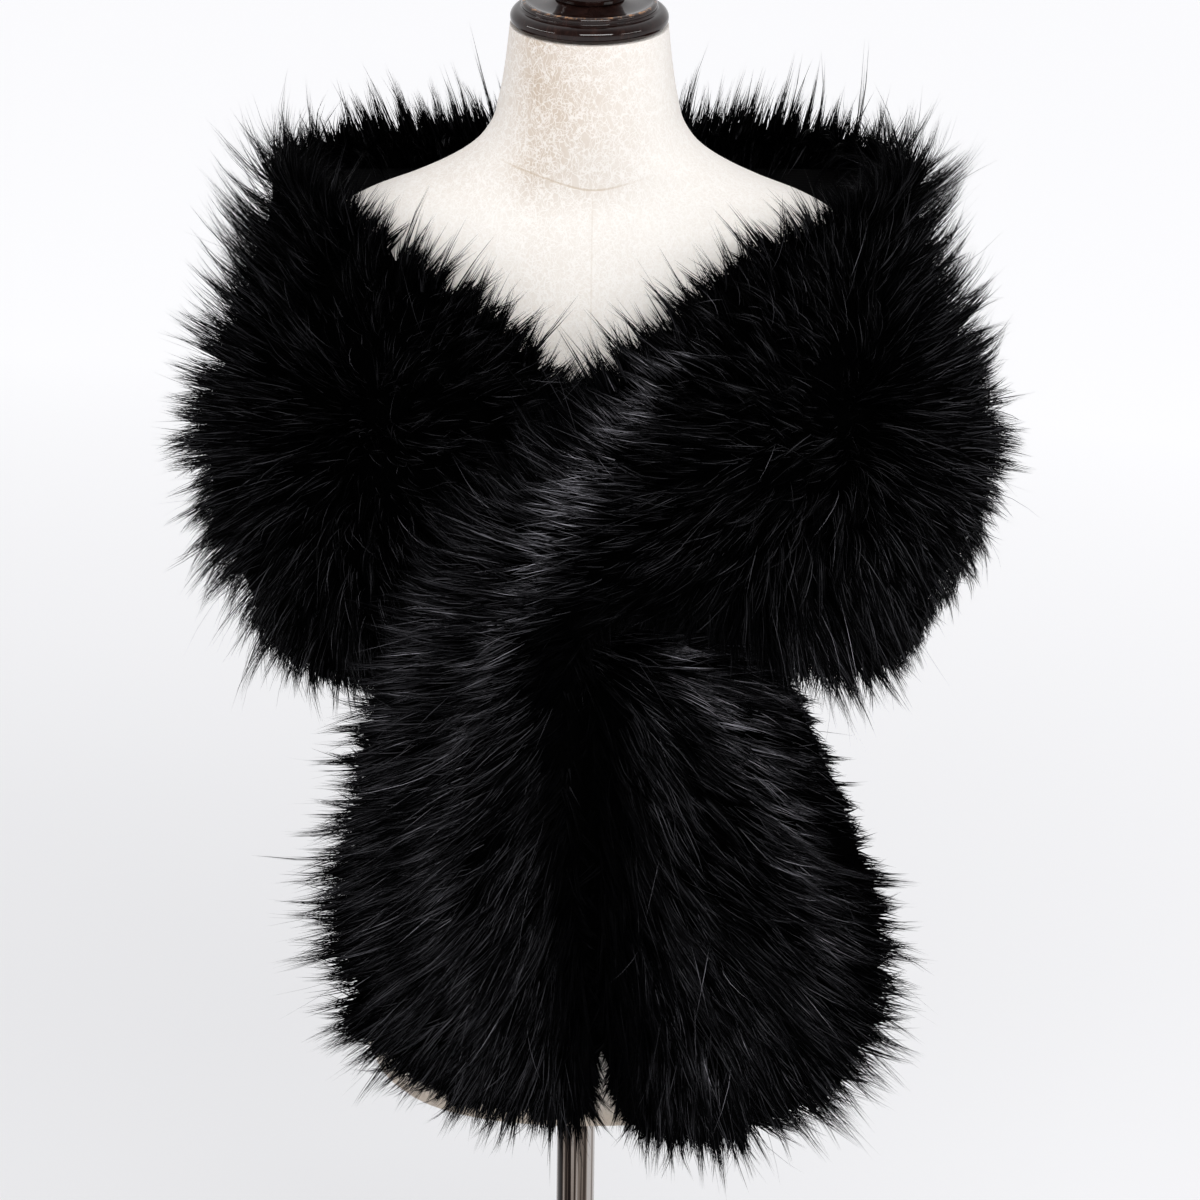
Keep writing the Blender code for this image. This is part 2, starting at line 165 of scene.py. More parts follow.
# Soft lights: place, target, size and energy.
AREA_LIGHTS = {
    "front_box": ((0.45, -2.5, 2.35), (0, 0, 0.8), (2.2, 0.40), 56),
    "left_box": ((-2.5, -0.7, 1.8), (0, 0, 0.85), (2.4, 0.12), 17),
    "right_box": ((2.4, -1.3, 1.9), (0, 0, 0.85), (1.6, 0.12), 11),
}
PALE_LIGHT = (0.985, 0.985, 1.0, 1)
FLOOR_REACH = 60.0


def place_camera():
    pitch, roll = math.radians(CAMERA_PITCH), math.radians(CAMERA_ROLL)
    ahead = Vector((0, math.cos(pitch), -math.sin(pitch)))
    right = Vector((1, 0, 0))
    up = Vector((0, math.sin(pitch), math.cos(pitch)))
    across = math.cos(roll) * right + math.sin(roll) * up
    above = math.cos(roll) * up - math.sin(roll) * right
    data = bpy.data.cameras.new("camera")
    data.lens = CAMERA_LENS
    data.sensor_width = SENSOR_WIDTH
    data.clip_end = VIEW_DEPTH
    camera = bpy.data.objects.new("camera", data)
    bpy.context.scene.collection.objects.link(camera)
    turn = Matrix((across, above, -ahead)).transposed().to_4x4()
    camera.matrix_world = Matrix.Translation(CAMERA_TARGET - ahead * CAMERA_DISTANCE) @ turn
    bpy.context.scene.camera = camera


def area_light(name, place, target, size, energy):
    data = bpy.data.lights.new(name, "AREA")
    data.shape = "RECTANGLE"
    data.size, data.size_y = size
    data.energy = energy
    light = bpy.data.objects.new(name, data)
    bpy.context.scene.collection.objects.link(light)
    light.location = place
    light.rotation_euler = (Vector(target) - Vector(place)).to_track_quat("-Z", "Y").to_euler()


def make_studio():
    """A pale room whose light comes from the back, three soft lights and a pale floor that glows
    with painted light.
    """
    bpy.context.scene.world = bpy.data.worlds.new("studio")
    n = Nodes(bpy.context.scene.world)
    n.tree.nodes.clear()
    where = n.add("TexCoord").outputs["Generated"]
    depth = n.add("SeparateXYZ", {0: where}).outputs["Y"]
    strength = n.ranged(depth, -0.65, 0.31, 0.16, 0.97, interpolation_type="SMOOTHSTEP")
    background = n.add("Background", {"Color": PALE_LIGHT, "Strength": strength})
    n.add("OutputWorld", {0: background.outputs[0]})

    for name, settings in AREA_LIGHTS.items():
        area_light(name, *settings)

    n = new_material("pale_floor")
    where = n.add("TexCoord").outputs["Object"]
    aside = n.add("VectorMath", {0: where, 1: (1.1, -0.1, 0)}, operation="ADD").outputs["Vector"]
    distance = n.add("VectorMath", {0: aside}, operation="LENGTH").outputs["Value"]
    # Painted light: the floor glows, least near a spot to the left of the stand and more further
    # out.
    painted_floor_glow = n.ranged(distance, 0.6, 4.0, 0.345, 0.635)
    n.set(Base_Color=(0.50, 0.50, 0.51, 1), Roughness=0.9, Specular_IOR_Level=0.1)
    n.set(Emission_Color=PALE_LIGHT, Emission_Strength=painted_floor_glow)
    mesh = bpy.data.meshes.new("floor")
    corners = [(-1, -1, 0), (1, -1, 0), (1, 1, 0), (-1, 1, 0)]
    corners = [tuple(FLOOR_REACH * x for x in corner) for corner in corners]
    mesh.from_pydata(corners, [], [(0, 1, 2, 3)])
    link("floor", mesh, n.owner)
    bpy.context.scene.view_settings.view_transform = "Standard"
    bpy.context.scene.view_settings.look = "None"


# ---------------------------------------------------------------- the CAD's tables, in mm

CLOTH = 2.0 * MM
FORM_CLEARANCE = 2.1 * MM  # from the form to the cloth's middle surface
BLUNT = 0.12  # of the pile's depth is left at its rim
# Directions are measured over these steps, in sections along and in shares across the stole.
SLOPE_STEP = 0.05
SLOPE_SHARE = 0.04

FormSection = namedtuple("FormSection", "height half_width front back centre square tilt")
FORM = [FormSection(*row) for row in (
    (345, 92, 66, 62, 0, 2.2, 0),
    (350, 113, 82, 79, 0, 2.2, 0),
    (361, 131, 96, 93, 0, 2.3, 0),
    (381, 144, 104, 105, 0, 2.3, 0),
    (415, 152, 108, 112, 0, 2.3, 0),
    (465, 150, 104, 111, 0, 2.3, 0),
    (530, 136, 95, 97, 0, 2.3, 0),
    (600, 121, 90, 82, 0, 2.3, 0),
    (650, 121, 94, 80, 0, 2.3, 0),
    (710, 131, 109, 86, 0, 2.3, 0),
    (765, 143, 121, 92, 0, 2.3, 0),
    (810, 150, 121, 96, 0, 2.3, 0),
    (860, 158, 109, 99, 0, 2.3, 0),
    (905, 168, 94, 98, 0, 2.3, 0),
    (938, 176, 81, 92, 0, 2.3, 0),
    (957, 174, 73, 84, 0, 2.3, 0),
    (970, 163, 67, 76, 0, 2.2, 0),
    (981, 143, 62, 70, 0, 2.2, 0),
    (991, 117, 59, 66, -1, 2.1, 0),
    (1002, 93, 58, 60, -2, 2.1, 0),
    (1014, 75, 57, 56, -4, 2.0, 0),
    (1028, 64, 56, 53, -6, 2.0, 1),
    (1045, 59, 54, 51, -8, 2.0, 3),
    (1068, 55, 52, 50, -11, 2.0, 6),
    (1094, 52, 51, 50, -15, 2.0, 9),
)]

StoleSection = namedtuple(
    "StoleSection",
    "neck_x neck_y neck_z hem_x hem_y hem_z crown skew pile neck_reach hem_reach",
)
STOLE = [StoleSection(*row) for row in (
    (108, -136, 386, 37, -141, 386, 2, 1, 26, 12, 6),
    (155, -138, 414, 28, -146, 418, 4, 1, 29, 20, 5),
    (184, -140, 458, 22, -149, 462, 6, 1, 30, 24, 5),
    (191, -142, 511, 18, -151, 514, 8, 1, 30, 24, 5),
    (176, -143, 572, 14, -151, 574, 8, 1, 30, 24, 5),
    (153, -140, 630, 9, -148, 632, 7, 1, 28, 23, 5),
    (125, -124, 690, 5, -142, 678, 4, 1, 22, 18, 5),
    (96, -114, 746, -6, -134, 699, 2, 1, 12, 14, 6),
    (52, -124, 803, -30, -130, 705, 1, 1, 10, 16, 8),
    (3, -124, 852, -64, -126, 700, 2, 1, 16, 18, 12),
    (-50, -110, 896, -102, -117, 686, 6, 1.2, 26, 20, 20),
    (-104, -84, 930, -146, -98, 680, 16, 1.4, 30, 20, 24),
    (-148, -50, 958, -186, -64, 690, 26, 1.6, 31, 20, 26),
    (-182, -14, 975, -206, -20, 706, 34, 1.6, 30, 20, 26),
    (-196, 26, 979, -210, 32, 716, 32, 1.6, 30, 22, 26),
    (-178, 64, 981, -190, 82, 726, 20, 1.4, 30, 24, 26),
    (-122, 86, 980, -130, 106, 735, 8, 1.2, 30, 24, 26),
    (-60, 90, 980, -62, 111, 739, 3, 1, 30, 24, 26),
    (4, 90, 980, 4, 112, 740, 2, 1, 30, 24, 26),
    (68, 90, 981, 72, 111, 739, 3, 1, 30, 24, 26),
    (132, 86, 983, 142, 106, 735, 8, 1.2, 30, 24, 26),
    (186, 64, 985, 204, 82, 725, 24, 1.5, 30, 24, 26),
    (205, 24, 984, 216, 32, 714, 44, 1.7, 30, 22, 26),
    (194, -18, 979, 216, -22, 702, 48, 1.7, 30, 20, 26),
    (162, -52, 967, 204, -68, 688, 34, 1.6, 30, 20, 26),
    (120, -84, 954, 172, -104, 690, 16, 1.4, 30, 20, 24),
    (80, -112, 924, 128, -140, 712, 9, 1.2, 29, 20, 20),
    (40, -134, 888, 84, -152, 733, 7, 1, 28, 20, 16),
    (2, -147, 852, 42, -158, 738, 6, 1, 28, 22, 12),
    (-47, -152, 805, 8, -160, 727, 6, 1, 28, 24, 7),
    (-89, -152, 751, -9, -160, 698, 7, 1, 29, 24, 5),
    (-116, -150, 688, -10, -158, 656, 8, 1, 30, 24, 5),
    (-131, -147, 620, -7, -156, 604, 8, 1, 30, 24, 5),
    (-140, -144, 550, -2, -154, 545, 8, 1, 30, 24, 5),
    (-140, -141, 488, 3, -151, 486, 6, 1, 30, 24, 5),
    (-124, -139, 434, 9, -148, 436, 4, 1, 29, 20, 5),
    (-84, -137, 402, 10, -143, 400, 2, 1, 26, 12, 6),
)]
LAST = len(STOLE) - 1

# The stretches: sections, cut width and length and cut area, and how many hairs each has: long
# locks, ordinary hair, short fill, strays, and hair that turns over the edges.
Stretch = namedtuple("Stretch", "name first last width length area long plain fill stray rim")
STRETCHES = [Stretch(*row) for row in (
    ("tail_right", 0, 6, 0.174, 0.356, 0.0455, 5500, 10200, 4700, 251, 3700),
    ("crossing_under", 6, 12, 0.278, 0.408, 0.0565, 4300, 7600, 3700, 251, 3300),
    ("shoulder_left", 12, 16, 0.282, 0.263, 0.0649, 5300, 9400, 4400, 210, 3600),
    ("back", 16, 20, 0.250, 0.273, 0.0645, 3700, 6600, 3400, 125, 5600),
    ("shoulder_right", 20, 24, 0.299, 0.271, 0.0692, 5500, 9600, 4600, 210, 3600),
    ("crossing_over", 24, 30, 0.293, 0.361, 0.0554, 5300, 10400, 4800, 251, 3200),
    ("tail_left", 30, 36, 0.144, 0.380, 0.0415, 5500, 10200, 4700, 251, 3700),
)]
# The sections of the panel that crosses on top, and the stretches that lie under it.
UPPER_SECTIONS = (23.4, 31.6)
LOWER_STRETCHES = ("tail_right", "crossing_under")

# Which way the hair lies, in degrees from the stole's run towards its hem edge, at five places
# from the neck edge to the hem edge, how far it stands off the cloth at its two edges and its
# middle, and how long it is there.
NapRow = namedtuple(
    "NapRow",
    "place neck upper middle lower hem lift_neck lift_middle lift_hem "
    "long_neck long_middle long_hem",
)
NAP = [NapRow(*row) for row in (
    (0.0, -150, -155, -165, -176, -190, 32, 28, 28, 1.05, 0.88, 0.50),
    (1.2, -122, -143, -163, -177, -184, 36, 28, 26, 1.10, 1.0, 0.80),
    (2.2, -108, -125, -142, -157, -172, 38, 29, 25, 0.92, 0.96, 0.85),
    (3.5, -92, -106, -120, -140, -160, 40, 30, 25, 0.64, 0.92, 0.85),
    (4.6, -100, -109, -122, -140, -160, 38, 30, 25, 0.47, 0.88, 0.8),
    (5.6, -113, -113, -123, -144, -162, 36, 30, 25, 0.44, 0.88, 0.8),
    (6.5, -112, -109, -99, -115, -150, 33, 30, 28, 0.66, 0.92, 0.8),
    (8.0, -122, -120, -115, -130, -150, 33, 30, 30, 0.9, 0.88, 0.85),
    (9.5, -135, -145, -170, -195, -210, 33, 35, 35, 0.90, 0.9, 0.85),
    (10.3, -137, -155, -182, -202, -218, 36, 42, 38, 0.92, 0.9, 0.82),
    (11.0, -132, -137, -210, -232, -230, 42, 55, 40, 1.04, 0.84, 0.78),
    (11.7, -112, -102, 60, 98, 112, 50, 60, 44, 1.0, 0.8, 0.82),
    (12.3, -95, -70, 15, 65, 95, 52, 60, 45, 0.97, 0.84, 0.86),
    (13.0, -92, -50, 5, 55, 88, 55, 58, 45, 1.08, 0.85, 0.88),
    (14.0, -98, -50, 8, 50, 85, 52, 52, 42, 1.1, 0.86, 0.86),
    (15.0, -112, -72, 30, 65, 88, 46, 46, 38, 1.05, 0.95, 0.95),
    (16.0, -118, -86, 60, 80, 90, 44, 42, 36, 1.12, 1, 1),
    (17.0, -112, -92, 80, 85, 90, 44, 42, 36, 1.15, 1, 1),
    (18.0, -90, -88, 90, 90, 90, 45, 40, 35, 1.15, 1, 1),
    (19.0, -74, -90, 98, 95, 90, 45, 40, 35, 1.15, 1, 1),
    (20.0, -68, -98, 120, 100, 90, 44, 42, 36, 1.15, 1, 1),
    (21.0, -76, -116, 150, 115, 92, 46, 46, 38, 1.05, 0.95, 0.9),
    (22.0, -90, -135, 175, 130, 95, 52, 50, 40, 1.08, 0.76, 0.54),
    (23.0, -92, -148, 172, 128, 102, 48, 44, 32, 1.04, 0.64, 0.42),
    (23.5, -75, -150, 160, 125, 112, 44, 46, 30, 0.9, 0.64, 0.42),
    (24.15, -66, -50, 130, 108, 112, 34, 36, 28, 0.84, 0.80, 0.50),
    (25.0, -54, -38, -8, 76, 106, 33, 31, 28, 0.84, 0.86, 0.98),
    (25.6, -48, -31, -5, 60, 104, 35, 33, 28, 0.9, 0.9, 1.25),
    (26.1, -44, -26, -3, 46, 98, 35, 32, 28, 0.98, 0.92, 1.2),
    (27.0, -54, -24, -10, 10, 56, 35, 30, 26, 1.06, 0.92, 0.70),
    (28.0, -76, -34, -22, -10, 0, 33, 30, 30, 1.10, 0.88, 0.45),
    (29.0, -88, -62, -42, -28, -12, 34, 30, 28, 1.0, 0.88, 0.5),
    (30.0, -80, -66, -58, -47, -40, 34, 30, 28, 0.8, 0.9, 0.6),
    (31.0, -73, -67, -63, -52, -42, 36, 30, 28, 0.79, 0.92, 0.75),
    (32.0, -78, -69, -62, -44, -28, 38, 30, 28, 0.90, 0.95, 0.8),
    (33.5, -82, -66, -54, -38, -18, 40, 29, 26, 1.10, 0.97, 0.85),
    (34.5, -68, -56, -42, -26, -8, 40, 30, 26, 1.08, 0.95, 0.85),
    (35.2, -52, -42, -31, -14, 4, 36, 30, 27, 0.64, 0.88, 0.88),
    (36.0, -32, -26, -15, 0, 10, 32, 28, 28, 0.36, 0.84, 0.98),
)]

# Lines of painted sheen, a highlight painted into the hair's colour, on the crown of each panel:
# place, share, half width in mm, strength.
PAINTED_SHEEN = (
    (
        (26.4, 0.00, 7, 0.6), (27.0, 0.02, 7, 1.6), (27.6, 0.09, 8, 2.0), (28.2, 0.19, 9, 1.8),
        (28.7, 0.29, 9, 1.8), (29.2, 0.38, 9, 1.5), (29.7, 0.45, 9, 1.1), (30.2, 0.47, 10, 0.9),
        (30.7, 0.47, 11, 0.7), (31.2, 0.44, 11, 0.6), (31.8, 0.38, 12, 0.65),
        (32.4, 0.35, 12, 0.65), (33.0, 0.35, 12, 0.65), (33.7, 0.39, 12, 0.6),
        (34.5, 0.46, 12, 0.5), (35.2, 0.52, 12, 0.3),
    ),
    (
        (28.6, 0.00, 13, 0.4), (29.3, 0.01, 13, 0.55), (30.0, 0.03, 13, 0.7),
        (30.6, 0.05, 14, 0.75), (31.2, 0.05, 13, 0.65), (31.8, 0.05, 12, 0.6),
        (32.4, 0.05, 12, 0.55), (33.0, 0.06, 12, 0.5), (33.7, 0.10, 12, 0.35),
        (34.4, 0.18, 11, 0.4), (35.3, 0.34, 11, 0.5),
    ),
    (
        (6.3, 0.50, 9, 1.3), (6.0, 0.42, 10, 1.55), (5.6, 0.36, 10, 1.55), (5.1, 0.29, 11, 1.4),
        (4.6, 0.23, 11, 1.15), (4.1, 0.21, 11, 0.95), (3.6, 0.20, 11, 0.75),
        (3.0, 0.18, 11, 0.65), (2.4, 0.22, 13, 0.45),
    ),
    ((6.2, 0.05, 11, 0.8), (5.7, 0.04, 12, 0.8), (5.1, 0.04, 12, 0.5)),
    ((1.9, 0.42, 11, 0.4), (1.3, 0.56, 12, 0.55), (0.6, 0.60, 11, 0.4)),
    ((5.6, 0.74, 13, 0.35), (3.8, 0.66, 15, 0.35), (2.2, 0.62, 14, 0.3)),
    ((30.6, 0.86, 12, 0.3), (32.4, 0.80, 14, 0.35), (34.0, 0.78, 13, 0.3)),
    ((13.4, 0.02, 12, 0.3), (14.0, 0.05, 12, 0.3)),
    ((22.0, 0.05, 12, 0.2), (22.5, 0.05, 12, 0.2)),
)

# ---------------------------------------------------------------- surfaces


def through(table, knots, places):
    """A smooth curve through a table's rows, read at some places."""
    slopes = np.gradient(table, knots, axis=0)
    index = np.clip(np.searchsorted(knots, places, side="right") - 1, 0, len(knots) - 2)
    width = (knots[index + 1] - knots[index])[:, None]
    t = (places - knots[index])[:, None] / width
    return (
        table[index] * (2 * t**3 - 3 * t**2 + 1)
        + slopes[index] * width * (t**3 - 2 * t**2 + t)
        + table[index + 1] * (3 * t**2 - 2 * t**3)
        + slopes[index + 1] * width * (t**3 - t**2)
    )


def unit(vectors):
    return vectors / np.maximum(np.linalg.norm(vectors, axis=-1, keepdims=True), 1e-12)


FORM_TABLE = np.array(FORM, float)
FORM_HEIGHTS = FORM_TABLE[:, 0]


def form_sections(heights):
    return through(FORM_TABLE[:, 1:], FORM_HEIGHTS, heights).T


def outside_form(points, clearance=FORM_CLEARANCE):
    """The points moved level and outwards to where they clear the form."""
    flat = points.reshape(-1, 3) / MM
    height = np.clip(flat[:, 2], FORM_HEIGHTS[0], FORM_HEIGHTS[-1])
    half_width, front, back, centre, power, _ = form_sections(height)
    x, y = flat[:, 0], flat[:, 1] - centre
    depth = np.where(y < 0, front, back)
    share = (np.abs(x / half_width) ** power + np.abs(y / depth) ** power) ** (1 / power)
    distance = np.hypot(x, y)
    least = distance / share + clearance / MM
    within = (flat[:, 2] > FORM_HEIGHTS[0]) & (flat[:, 2] < FORM_HEIGHTS[-1])
    scale = np.where(within, np.maximum(1, least / distance), 1)
    moved = np.stack([x * scale, y * scale + centre, flat[:, 2]], 1)
    return moved.reshape(points.shape) * MM


STOLE_TABLE = np.array(STOLE, float) * np.where(np.array(StoleSection._fields) == "skew", 1, MM)
STEPS = np.linalg.norm(np.diff((STOLE_TABLE[:, 0:3] + STOLE_TABLE[:, 3:6]) / 2, axis=0), axis=1)
STOLE_KNOTS = np.concatenate([[0], np.cumsum(STEPS)])
# Columns of the table that are read by number.
HEM_X, HEM_Z, PILE, NECK_REACH, HEM_REACH = 3, 5, 8, 9, 10


def stole_rows(places):
    lengths = np.interp(places, range(len(STOLE)), STOLE_KNOTS)
    past = np.clip(places - LAST, 0, None) + np.clip(places, None, 0)
    return through(STOLE_TABLE, STOLE_KNOTS, lengths + past * STEPS[0])


def cloth_points(places, shares):
    rows = stole_rows(places)[:, None]
    neck, hem, crown, skew = rows[..., 0:3], rows[..., 3:6], rows[..., 6:7], rows[..., 7:8]
    step = stole_rows(places + SLOPE_STEP) - stole_rows(places - SLOPE_STEP)
    along = (step[:, 0:3] + step[:, 3:6])[:, None]
    outward = unit(np.cross(along, hem - neck))
    share = shares[None, :, None]
    bulge = np.sin(math.pi * share**skew) * crown
    return outside_form(neck + share * (hem - neck) + bulge * outward)


def cloth_frame(places, shares):
    """The cloth's middle surface, with its outward and across directions."""
    points = cloth_points(places, shares)
    ahead, behind = (cloth_points(places + step, shares) for step in (SLOPE_STEP, -SLOPE_STEP))
    low, high = (np.clip(shares + step, 0, 1) for step in (-SLOPE_SHARE, SLOPE_SHARE))
    across = unit(cloth_points(places, high) - cloth_points(places, low))
    outward = unit(np.cross(ahead - behind, across))
    return points, outward, across


# The whole stole on a fine grid, which the hair reads its roots from.
GRID_STEP = 0.05
GRID_PLACES = np.arange(0, LAST + GRID_STEP / 2, GRID_STEP)
GRID_SHARES = np.linspace(0, 1, 41)
GRID_POINTS, GRID_OUTWARD, GRID_ACROSS = cloth_frame(GRID_PLACES, GRID_SHARES)
GRID_PILE = stole_rows(GRID_PLACES)[:, PILE]


def on_grid(place, share, *grids):
    i = np.clip(place / GRID_STEP, 0, len(GRID_PLACES) - 1.001)
    j = np.clip(share * (len(GRID_SHARES) - 1), 0, len(GRID_SHARES) - 1.001)
    i0, j0 = i.astype(int), j.astype(int)
    u, v = (i - i0)[:, None], (j - j0)[:, None]
    return [
        (g[i0, j0] * (1 - v) + g[i0, j0 + 1] * v) * (1 - u)
        + (g[i0 + 1, j0] * (1 - v) + g[i0 + 1, j0 + 1] * v) * u
        for g in grids
    ]


def on_stole(place, share):
    """Where hairs are rooted: points, outward, across and along directions, and pile depth."""
    points, outward, across = on_grid(place, share, GRID_POINTS, GRID_OUTWARD, GRID_ACROSS)
    outward = unit(outward)
    across = unit(across - outward * (across * outward).sum(1, keepdims=True))
    pile = np.interp(place, GRID_PLACES, GRID_PILE)
    return points, outward, across, np.cross(across, outward), pile


# ---------------------------------------------------------------- the panel that presses

CELL = 3.0 * MM
PANEL_LOW = np.array([-0.24, 0.52])
PANEL_CELLS = (170, 170)
PANEL_SAMPLES = (420, 160)  # along and across, more than one for each cell
WELL_IN = 12  # cells from the panel's edge
FAR = -9.0


def cell_of(points):
    return ((points[..., [0, 2]] - PANEL_LOW) / CELL).astype(int)


def rastered_panel():
    """How deep the upper panel's back lies, for each cell of a level grid seen from the front."""
    places, shares = map(np.linspace, (UPPER_SECTIONS[0], 0), (UPPER_SECTIONS[1], 1), PANEL_SAMPLES)
    points = cloth_points(places, shares).reshape(-1, 3)
    depth = np.full(PANEL_CELLS, FAR)
    index = cell_of(points)
    np.maximum.at(depth, (index[:, 0], index[:, 1]), points[:, 1])
    return depth


def well_under(panel):
    """The cells that the panel covers together with those round them."""
    steps = (-WELL_IN, 0, WELL_IN)
    return np.all([np.roll(panel > FAR, (dx, dz), (0, 1)) for dx in steps for dz in steps], axis=0)


PANEL = rastered_panel()
WELL_UNDER = well_under(PANEL)


def panel_at(points, grid):
    index = cell_of(points)
    for axis, cells in enumerate(PANEL_CELLS):
        index[..., axis] = np.clip(index[..., axis], 0, cells - 1)
    return grid[index[..., 0], index[..., 1]]


def behind_panel(points, spare):
    """The points, pushed back to where the panel that crosses over leaves room for them."""
    least = panel_at(points, PANEL) + CLOTH / 2 + spare
    moved = points.copy()
    moved[..., 1] = np.maximum(points[..., 1], least)
    return moved


# ---------------------------------------------------------------- meshes

SHARP_CLOTH = math.radians(60)
SHARP_TURNED = math.radians(50)
HAIR_MAP = "OFBake"  # tone along u and root to tip along v


def smooth_mesh(name, points, faces, surface, sharp):
    mesh = bpy.data.meshes.new(name)
    mesh.from_pydata(points.tolist(), [], faces)
    mesh.validate()
    mesh.shade_smooth()
    mesh.set_sharp_from_angle(angle=sharp)
    return link(name, mesh, surface)


def solid_between(name, inner, outer, surface):
    """A closed solid between two grids of points."""
    rows, columns = inner.shape[:2]
    index = np.arange(rows * columns).reshape(rows, columns)
    lift = rows * columns
    a, b, c, d = index[:-1, :-1], index[:-1, 1:], index[1:, 1:], index[1:, :-1]
    sides = (a, b, c, d), (a + lift, d + lift, c + lift, b + lift)
    quads = [np.stack(side, -1).reshape(-1, 4) for side in sides]
    for line, turn in ((index[:, 0], 1), (index[:, -1], -1), (index[0], -1), (index[-1], 1)):
        ahead, behind = line[1:], line[:-1]
        quads.append(np.stack([behind, ahead, ahead + lift, behind + lift], -1)[:, ::turn])
    points = np.concatenate([inner.reshape(-1, 3), outer.reshape(-1, 3)])
    return smooth_mesh(name, points, np.concatenate(quads).tolist(), surface, SHARP_CLOTH)


def lofted(name, rings, surface):
    """A closed solid through rings, bottom to top, each running anticlockwise."""
    index = np.arange(len(rings) * len(rings[0])).reshape(len(rings), -1)
    ahead = np.roll(index, -1, axis=1)
    quads = np.stack([index[:-1], ahead[:-1], ahead[1:], index[1:]], -1).reshape(-1, 4)
    faces = quads.tolist() + [index[0, ::-1].tolist(), index[-1].tolist()]
    return smooth_mesh(name, np.concatenate(rings), faces, surface, SHARP_TURNED)


def ribbons(name, batches, surface):
    """Hairs as one mesh of tapering ribbons. A batch has paths (hairs, points, 3), widths
    (hairs, points - 1), the directions of the widths, and tones (hairs, points)."""
    coords, corners, starts, uvs = [], [], [], []
    base = loops = 0
    for paths, widths, sides, tone in batches:
        hairs, count = paths.shape[:2]
        body = count - 1
        half = sides[:, :body] * widths[..., None] / 2
        left, right = paths[:, :body] - half, paths[:, :body] + half
        pairs = np.stack([left, right], 2).reshape(hairs, body * 2, 3)
        coords.append(np.concatenate([pairs, paths[:, body:]], 1).reshape(-1, 3))
        first = base + np.arange(hairs)[:, None] * (body * 2 + 1)
        level = np.linspace(0, 1, count)
        for k in range(body):  # quads, and a triangle at the tip
            ring, points = [0, 1, 3, 2], [k, k, k + 1, k + 1]
            if k == body - 1:
                ring, points = [0, 1, 2], points[:3]
            corners.append((first + 2 * k + ring).ravel())
            starts.append(loops + len(ring) * np.arange(hairs))
            loops += len(ring) * hairs
            uvs.append(np.stack([tone[:, points].ravel(), np.tile(level[points], hairs)], 1))
        base += hairs * (body * 2 + 1)
    coords, corners, starts = (np.concatenate(x) for x in (coords, corners, starts))
    mesh = bpy.data.meshes.new(name)
    mesh.vertices.add(len(coords))
    mesh.vertices.foreach_set("co", coords.astype(np.float32).ravel())
    mesh.loops.add(len(corners))
    mesh.loops.foreach_set("vertex_index", corners.astype(np.int32))
    mesh.polygons.add(len(starts))
    mesh.polygons.foreach_set("loop_start", starts.astype(np.int32))
    mesh.update(calc_edges=True)
    layer = mesh.uv_layers.new(name=HAIR_MAP)
    layer.uv.foreach_set("vector", np.concatenate(uvs).astype(np.float32).ravel())
    mesh.shade_smooth()
    return link(name, mesh, surface)


# ---------------------------------------------------------------- hair

NAP_TABLE = np.array(NAP, float)
NAP_TURNS, NAP_LIFTS, NAP_LENGTHS = (1, 2, 3, 4, 5), (6, 7, 8), (9, 10, 11)
BEND_AT = 0.42  # of a hair's length
# In degrees: a hair's first part stands up more than the nap says, and its second part less.
ROOT_STEEPER, ROOT_LIFTS = 28, (-175, 92)
TIP_LOWER, TIP_LIFTS = 14, (-175, 86)
# For the painted sheen, a highlight painted into the hair's colour: how far aside each hair reads
# it.
SHEEN_BLUR = 3.5 * MM
SHEEN_CONTRAST = 2.6  # how much brighter a few hairs are than most
SHEEN_DEPTH = 0.8  # how much of a distance into the pile is left out


def across_rows(place, share, columns):
    """Values between the edges and the middle, from three columns of the nap table."""
    rows = np.stack([np.interp(place, NAP_TABLE[:, 0], NAP_TABLE[:, k]) for k in columns])
    side = np.abs(2 * share - 1)
    return rows[1] * (1 - side) + np.where(share < 0.5, rows[0], rows[2]) * side


def nap(place, share):
    """The way the hair lies there: its run along and across the stole, and its lift."""
    turns = np.radians(NAP_TABLE[:, NAP_TURNS])
    lean = np.clip(share, 0, 1) * 4
    column = np.minimum(lean.astype(int), 3)
    part = lean - column
    index = np.arange(len(place))
    found = []
    for table in (np.cos(turns), np.sin(turns)):
        values = np.stack([np.interp(place, NAP_TABLE[:, 0], line) for line in table.T])
        found.append(values[column, index] * (1 - part) + values[column + 1, index] * part)
    return found[0], found[1], across_rows(place, share, NAP_LIFTS)


def sheen_segments():
    """The painted sheen's lines cut in straight pieces: table rows, ends in space and outward."""
    segments = []
    for line in PAINTED_SHEEN:
        table = np.array(line, float)
        points, outward, _, _, pile = on_stole(table[:, 0], table[:, 1])
        points = points + outward * pile[:, None]
        for k in range(len(line) - 1):
            segments.append((table[k : k + 2], points[k : k + 2], outward[k]))
    return segments


SHEEN_SEGMENTS = sheen_segments()


def sheen(stretch, points):
    """How bright the painted sheen is at each point: strongest on the lines on this stretch's pile.
    """
    total = np.zeros(points.shape[:-1])
    for table, (start, end), outward in SHEEN_SEGMENTS:
        if stretch.first - 1 < table[0, 0] < stretch.last + 1:
            run = end - start
            off = points - start
            part = np.clip(off @ run / (run @ run), 0, 1)
            off = off - part[..., None] * run
            square = (off**2).sum(-1) - SHEEN_DEPTH * (off @ outward) ** 2
            spread, strength = (table[0, k] + part * (table[1, k] - table[0, k]) for k in (2, 3))
            bright = strength * np.exp(-square / (2 * (spread * MM) ** 2))
            total = np.maximum(total, bright)
    return total


